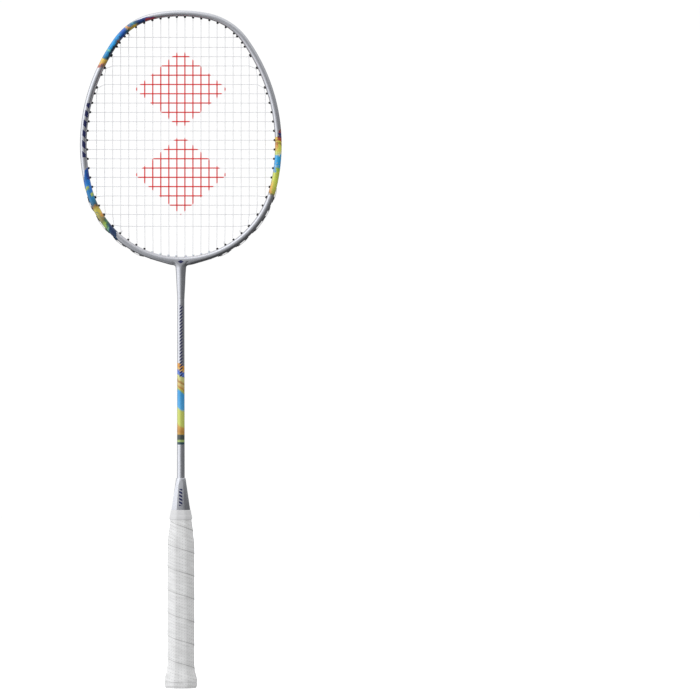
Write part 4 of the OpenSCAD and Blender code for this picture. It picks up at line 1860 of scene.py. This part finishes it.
@dataclass(frozen=True)
class HandleForm:
    """The outer form of the wrapped handle: a soft-edged octagon, wider than it is deep."""

    depth_less: float = 3.0
    softness: float = 26.0
    corner_cut: float = 0.293  # a regular octagon's, as a share of its width
    widths: Stations = (
        (0.0, 28.4), (0.4, 30.3), (1.0, 31.5), (2.0, 32.5), (3.5, 33.1), (8.0, 33.0), (10.0, 32.5),
        (12.0, 31.6), (14.0, 30.6), (16.0, 29.5), (18.0, 28.5), (20.0, 27.7), (24.0, 27.25), (60.0, 27.3),
        (138.0, 27.3), (143.5, 27.15), (147.5, 26.6), (155.4, 24.8), (163.4, 22.85), (171.4, 20.95),
        (175.0, 20.1), (177.6, 19.2),
    )

    def reach(self, angle: float, z: float) -> float:
        """Return the distance from the axis to the surface.

        Args:
            angle: The bearing about the axis, in radians, 0 at +X.
            z: The height, in metres.

        Returns:
            The distance, in metres.
        """
        width = between(self.widths, z / MM) * MM
        a, b = width / 2, width / 2 - self.depth_less * MM / 2
        diagonal = (a + b - self.corner_cut * width) / math.sqrt(2)
        total = 0.0
        for turn, support in ((0.0, a), (90.0, b), (45.0, diagonal), (135.0, diagonal)):
            total += abs(math.cos(angle - math.radians(turn)) / support) ** self.softness
        return total ** (-1 / self.softness)

    def settle(self, vert: BMVert, out: float) -> None:
        """Move a vertex along its bearing to a distance out from the surface."""
        angle = math.atan2(vert.co.y, vert.co.x)
        vert.co = at_angle(self.reach(angle, vert.co.z) + out, angle, vert.co.z)


@dataclass
class GripTape:
    """The leather strip wound up the handle in a spiral, each turn lapping the one below."""

    form: HandleForm
    pitch: float = 22.8 * MM
    lap: float = 3.2 * MM
    edge: float = 0.44 * MM
    seam_at_right: float = 156.2 * MM
    top: float = 169.0 * MM
    low: float = 6.5 * MM
    turns: float = 8.51
    turn_steps: int = 96
    mean_radius: float = 13.4 * MM
    lead: float = 0.56  # how much of a turn before the right-hand side the strip starts

    def strip_section(self) -> list[tuple[float, float]]:
        """Shape the strip's cross-section.

        Returns:
            (up the handle from the strip's lower edge, out from the handle's surface) in metres,
            as a closed loop.
        """
        wide = self.pitch + self.lap
        outer = []
        for i in range(25):
            t = i / 24
            rise = self.edge * (1 - t * 1.02)
            if t < 0.04:
                rise = self.edge * 0.93
            outer.append((0.12 * MM + (wide - 0.12 * MM) * t, rise))
        return [(0.0, self.edge * 0.45), *outer, (wide, -0.75 * MM), (0.02 * MM, -0.75 * MM)]

    def build(self, leather: Material) -> Piece:
        """Wind the strip, with a level turn at the butt under it.

        Args:
            leather: The tape's material.

        Returns:
            The finished piece.
        """
        mesh = bmesh.new()
        strip = mesh.loops.layers.uv.new("strip")
        run = mesh.verts.layers.float.new("run")
        across = mesh.verts.layers.float.new("across")
        section = self.strip_section()
        core = 13.0 * MM
        # The ledges fall by one pitch for each full turn to the right of the front
        top_edge = self.seam_at_right + self.pitch * self.lead
        first_angle = -FULL * self.lead
        geometry = closed_profile(mesh, [at_angle(core, first_angle, top_edge + v) for v, _ in section])
        bmesh.ops.spin(
            mesh, geom=geometry, cent=Vector(), axis=UP,
            dvec=Vector((0.0, 0.0, -self.pitch / self.turn_steps)), angle=FULL * self.turns,
            steps=round(self.turns * self.turn_steps), use_merge=False, use_duplicate=False,
        )
        count = len(section)
        for index, vert in enumerate(mesh.verts):
            step, spot = divmod(index, count)
            angle = first_angle + FULL * step / self.turn_steps
            v, out = section[spot]
            z = top_edge - self.pitch * step / self.turn_steps + v
            vert[run] = step * FULL * self.mean_radius / self.turn_steps
            vert[across] = v
            if z < self.low:
                # Below its last seam the spiral is squeezed up and drawn in under the base turn
                out -= max(0.0, self.low - z - 1.5 * MM) * 0.25
                z = self.low - (self.low - z) * 0.1
            z = min(z, self.top)
            vert.co = at_angle(self.form.reach(angle, z) - self.edge + out, angle, z)
        bmesh.ops.edgeloop_fill(mesh, edges=[e for e in mesh.edges if e.is_boundary])
        self.base_turn(mesh, run, across)
        for face in mesh.faces:
            for loop in face.loops:
                loop[strip].uv = (loop.vert[run], loop.vert[across])
        piece = finish_mesh(mesh, "grip_tape_wrap", leather, sharp=50.0, weld=1e-8)
        return place_piece(piece, "grip_wrap", "grip_tape")

    def base_turn(self, mesh: BMesh, run: object, across: object) -> None:
        """Lay the level first turn round the flare of the butt, up to where the spiral laps it.

        Args:
            mesh: The tape's mesh.
            run: The vertex layer of the distance along the strip.
            across: The vertex layer of the distance across it.
        """
        heights = [1.1, 1.25, 1.7, 2.4, 3.4, 4.6, 6.0, 7.4, 8.8, 10.2, 11.8, 13.4]
        loop = [(10.0, heights[0])] + [(14.0, h) for h in heights] + [(10.0, heights[-1])]
        for vert in turn_full(mesh, loop, 96):
            angle = math.atan2(vert.co.y, vert.co.x)
            z = vert.co.z
            if math.hypot(vert.co.x, vert.co.y) > 12 * MM:
                # It sinks where the spiral laps it, and most at the right
                sunk = 0.55 + (0.9 + 0.6 * math.cos(angle)) * smoothstep(4.2 * MM, 5.8 * MM, z)
                self.form.settle(vert, -self.edge * sunk)
            vert[run] = angle * 16 * MM
            vert[across] = z


@dataclass
class EndTape:
    """The narrow tape that finishes the top of the grip: two level turns, the second set back."""

    form: HandleForm

    def build(self, vinyl: Material) -> Piece:
        """Wrap the tape.

        Args:
            vinyl: Its material.

        Returns:
            The finished piece.
        """
        mesh = bmesh.new()
        stations = (
            (-1.3, 167.9), (0.28, 167.95), (0.42, 168.1), (0.44, 170.0), (0.40, 172.4), (0.30, 172.55),
            (0.16, 172.6), (0.16, 176.9), (0.05, 177.3), (-0.25, 177.5), (-1.3, 177.5),
        )
        rough = 12.0  # the radius it is turned at, before it takes the handle's form
        turn_full(mesh, [(rough + out, z) for out, z in stations], 96)
        for vert in mesh.verts:
            out = math.hypot(vert.co.x, vert.co.y) - rough * MM
            self.form.settle(vert, out)
        return place_piece(
            finish_mesh(mesh, "finishing_tape_wrap", vinyl, sharp=35.0), "end_tape", "finishing_tape",
        )


@dataclass
class Butt:
    """The moulded butt cap and the plain disc set in it."""

    form: HandleForm

    def build(self, shop: Shop) -> list[Piece]:
        """Mould the cap and spin the disc.

        Args:
            shop: The finishes.

        Returns:
            The finished pieces.
        """
        mesh = bmesh.new()
        stations = (
            (8.1, 0.75), (8.15, 0.2), (8.4, 0.03), (8.8, 0.0), (11.0, 0.0), (13.6, 0.0), (14.6, 0.12),
            (15.2, 0.45), (15.5, 0.9), (15.5, 1.6), (13.0, 1.7), (8.0, 1.7),
        )
        turn_full(mesh, stations, 96)
        for vert in mesh.verts:
            out = math.hypot(vert.co.x, vert.co.y)
            angle = math.atan2(vert.co.y, vert.co.x)
            facet = self.form.reach(angle, 3.5 * MM) / (16.5 * MM)
            blend = smoothstep(9.5 * MM, 13.6 * MM, out)
            grow = 1 + (facet - 1) * blend
            vert.co.x *= grow
            vert.co.y *= grow
        cap = place_piece(
            finish_mesh(mesh, "butt_cap_moulding", shop.butt, sharp=45.0), "butt_plastic", "butt_cap",
        )
        disc = bmesh.new()
        rings = (
            (0.0, 0.75), (0.0, 0.18), (2.2, 0.18), (2.5, 0.1), (2.9, 0.1), (3.2, 0.18), (6.3, 0.18),
            (6.6, 0.04), (7.0, 0.0), (7.7, 0.0), (7.95, 0.15), (8.0, 0.75),
        )
        turn_full(disc, rings, 64)
        bmesh.ops.dissolve_degenerate(disc, dist=0.001 * MM, edges=disc.edges[:])
        badge = place_piece(
            finish_mesh(disc, "butt_badge_disc", shop.badge, sharp=30.0), "badge", "butt_badge",
        )
        return [cap, badge]


@dataclass
class Innards:
    """The hidden pieces that keep their designed shape and only take a finish."""

    def dress(self, shop: Shop) -> None:
        """Give the T-joint, the wooden core and the pin their finishes.

        Args:
            shop: The finishes.
        """
        for node, material in (
            ("t_joint", shop.carbon), ("handle_core", shop.wood), ("handle_pin", shop.wire),
        ):
            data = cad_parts[node].data
            data.materials.clear()
            data.materials.append(material)
            LOG.info("%s keeps its designed shape", node)


# -------- The studio --------


@dataclass
class Studio:
    """Camera, pale floor and soft light."""

    distance: float = 6.0
    frame_width: float = 0.6974
    centre_x: float = 0.1685
    centre_z: float = 0.3367
    fill: float = 1.72

    def camera(self) -> None:
        """Set the level, distant camera."""
        data = bpy.data.cameras.new("studio_camera")
        data.sensor_width = 36.0
        data.lens = 36.0 * self.distance / self.frame_width
        data.clip_start, data.clip_end = 0.1, 100.0
        camera = bpy.data.objects.new("studio_camera", data)
        camera.location = (self.centre_x, -self.distance, self.centre_z)
        camera.rotation_euler = (math.radians(90), 0.0, 0.0)
        bpy.context.scene.collection.objects.link(camera)
        bpy.context.scene.camera = camera

    def light(self) -> None:
        """Light the studio: a white sweep to the left and above, grey to the right and below."""
        scene = bpy.context.scene
        world = bpy.data.worlds.new("studio")
        scene.world = world
        world.use_nodes = True
        tree = world.node_tree
        tree.nodes.clear()
        toward = add_node(tree, "TexCoord").outputs["Generated"]
        axes = add_node(tree, "SeparateXYZ", {0: toward}).outputs
        ahead = add_node(tree, "Math MULTIPLY", {0: axes[1], 1: -1.0})
        turn = add_node(tree, "Math ARCTAN2", {0: axes[0], 1: ahead})
        round_ = add_node(tree, "MapRange", {"From Min": -math.pi, "From Max": math.pi, "Value": turn})

        def grey(value: float) -> Colour:
            """Return a grey of a given linear value, a touch cool."""
            return (value * 0.995, value * 0.998, value * 1.01, 1.0)

        walls = add_node(
            tree, "ValToRGB",
            {
                "stops": [
                    (0.0, grey(0.48)), (0.06, grey(0.24)), (0.14, grey(0.34)), (0.21, grey(1.22)),
                    (0.375, grey(1.35)), (0.415, grey(0.95)), (0.46, grey(0.56)), (0.505, grey(0.42)),
                    (0.545, grey(0.19)), (0.72, grey(0.17)), (0.90, grey(0.14)), (1.0, grey(0.48)),
                ],
                "Fac": round_,
            },
        )
        height = add_node(tree, "MapRange", {"From Min": -1.0, "From Max": 1.0, "Value": axes[2]})
        level = add_node(
            tree, "ValToRGB",
            {
                "stops": [
                    (0.0, grey(0.26)), (0.15, grey(0.42)), (0.34, grey(0.80)), (0.47, grey(1.0)),
                    (0.70, grey(0.95)), (1.0, grey(0.6)),
                ],
                "Fac": height,
            },
        )
        softbox = add_node(
            tree, "ValToRGB",
            {
                "stops": [
                    (0.51, grey(0.0)), (0.60, grey(0.16)), (0.72, grey(0.40)), (0.90, grey(0.78)),
                    (1.0, grey(0.82)),
                ],
                "Fac": height,
            },
        )
        shaded = add_node(tree, "Mix MULTIPLY", {0: 1.0, 6: walls, 7: level})
        room = add_node(tree, "Mix ADD", {0: 1.0, 6: shaded, 7: softbox})
        path = add_node(tree, "LightPath").outputs
        # Matt surfaces are lit by a part of an even fill, which the lacquer does not mirror
        share = add_node(tree, "Math MULTIPLY", {0: path["Is Diffuse Ray"], 1: 0.25})
        fill = add_node(tree, "Mix MIX", {0: share, 6: room, 7: grey(self.fill)})
        lit = add_node(tree, "Background", {"Strength": 1.0, "Color": fill})
        plain = add_node(tree, "Background", {"Color": (1.0, 1.0, 1.0, 1.0), "Strength": 1.02})
        mixed = add_node(tree, "MixShader", {0: path["Is Camera Ray"], 1: lit, 2: plain})
        add_node(tree, "OutputWorld", {"Surface": mixed})
        scene.view_settings.view_transform = "Standard"
        scene.view_settings.look = "None"

    def floor(self) -> None:
        """Lay the pale floor, a plain white sweep."""
        mesh = bmesh.new()
        bmesh.ops.create_circle(mesh, cap_ends=True, segments=64, radius=6.0)
        data = bpy.data.meshes.new("studio_floor")
        mesh.to_mesh(data)
        mesh.free()
        floor = bpy.data.objects.new("studio_floor", data)
        bpy.context.scene.collection.objects.link(floor)
        material = bpy.data.materials.new("pale_paper_sweep")
        material.use_nodes = True
        shader = material.node_tree.nodes["Principled BSDF"]
        shader.inputs["Base Color"].default_value = linear("F4F4F4")
        shader.inputs["Roughness"].default_value = 0.9
        shader.inputs["Emission Color"].default_value = (1.0, 1.0, 1.0, 1.0)
        shader.inputs["Emission Strength"].default_value = 0.55
        data.materials.append(material)
        floor.visible_glossy = False
        floor.visible_diffuse = False

    def build(self) -> None:
        """Set up the whole studio."""
        self.camera()
        self.light()
        self.floor()


def main() -> None:
    """Build the racket's visual pieces, in order from the head to the butt."""
    logging.basicConfig(level=logging.INFO, format="%(name)s: %(message)s")
    Studio().build()
    shop = Shop()
    plan = StringPlan()
    form = HandleForm()
    HeadFrame(plan).build(shop.head)
    Grommets(plan).build(shop)
    StringBed(plan).build(shop.string)
    Shaft().build(shop.shaft)
    ConeCap().build(shop.cap)
    GripTape(form).build(shop.leather)
    EndTape(form).build(shop.tape)
    Butt(form).build(shop)
    Innards().dress(shop)


if __name__ == "__main__":
    main()
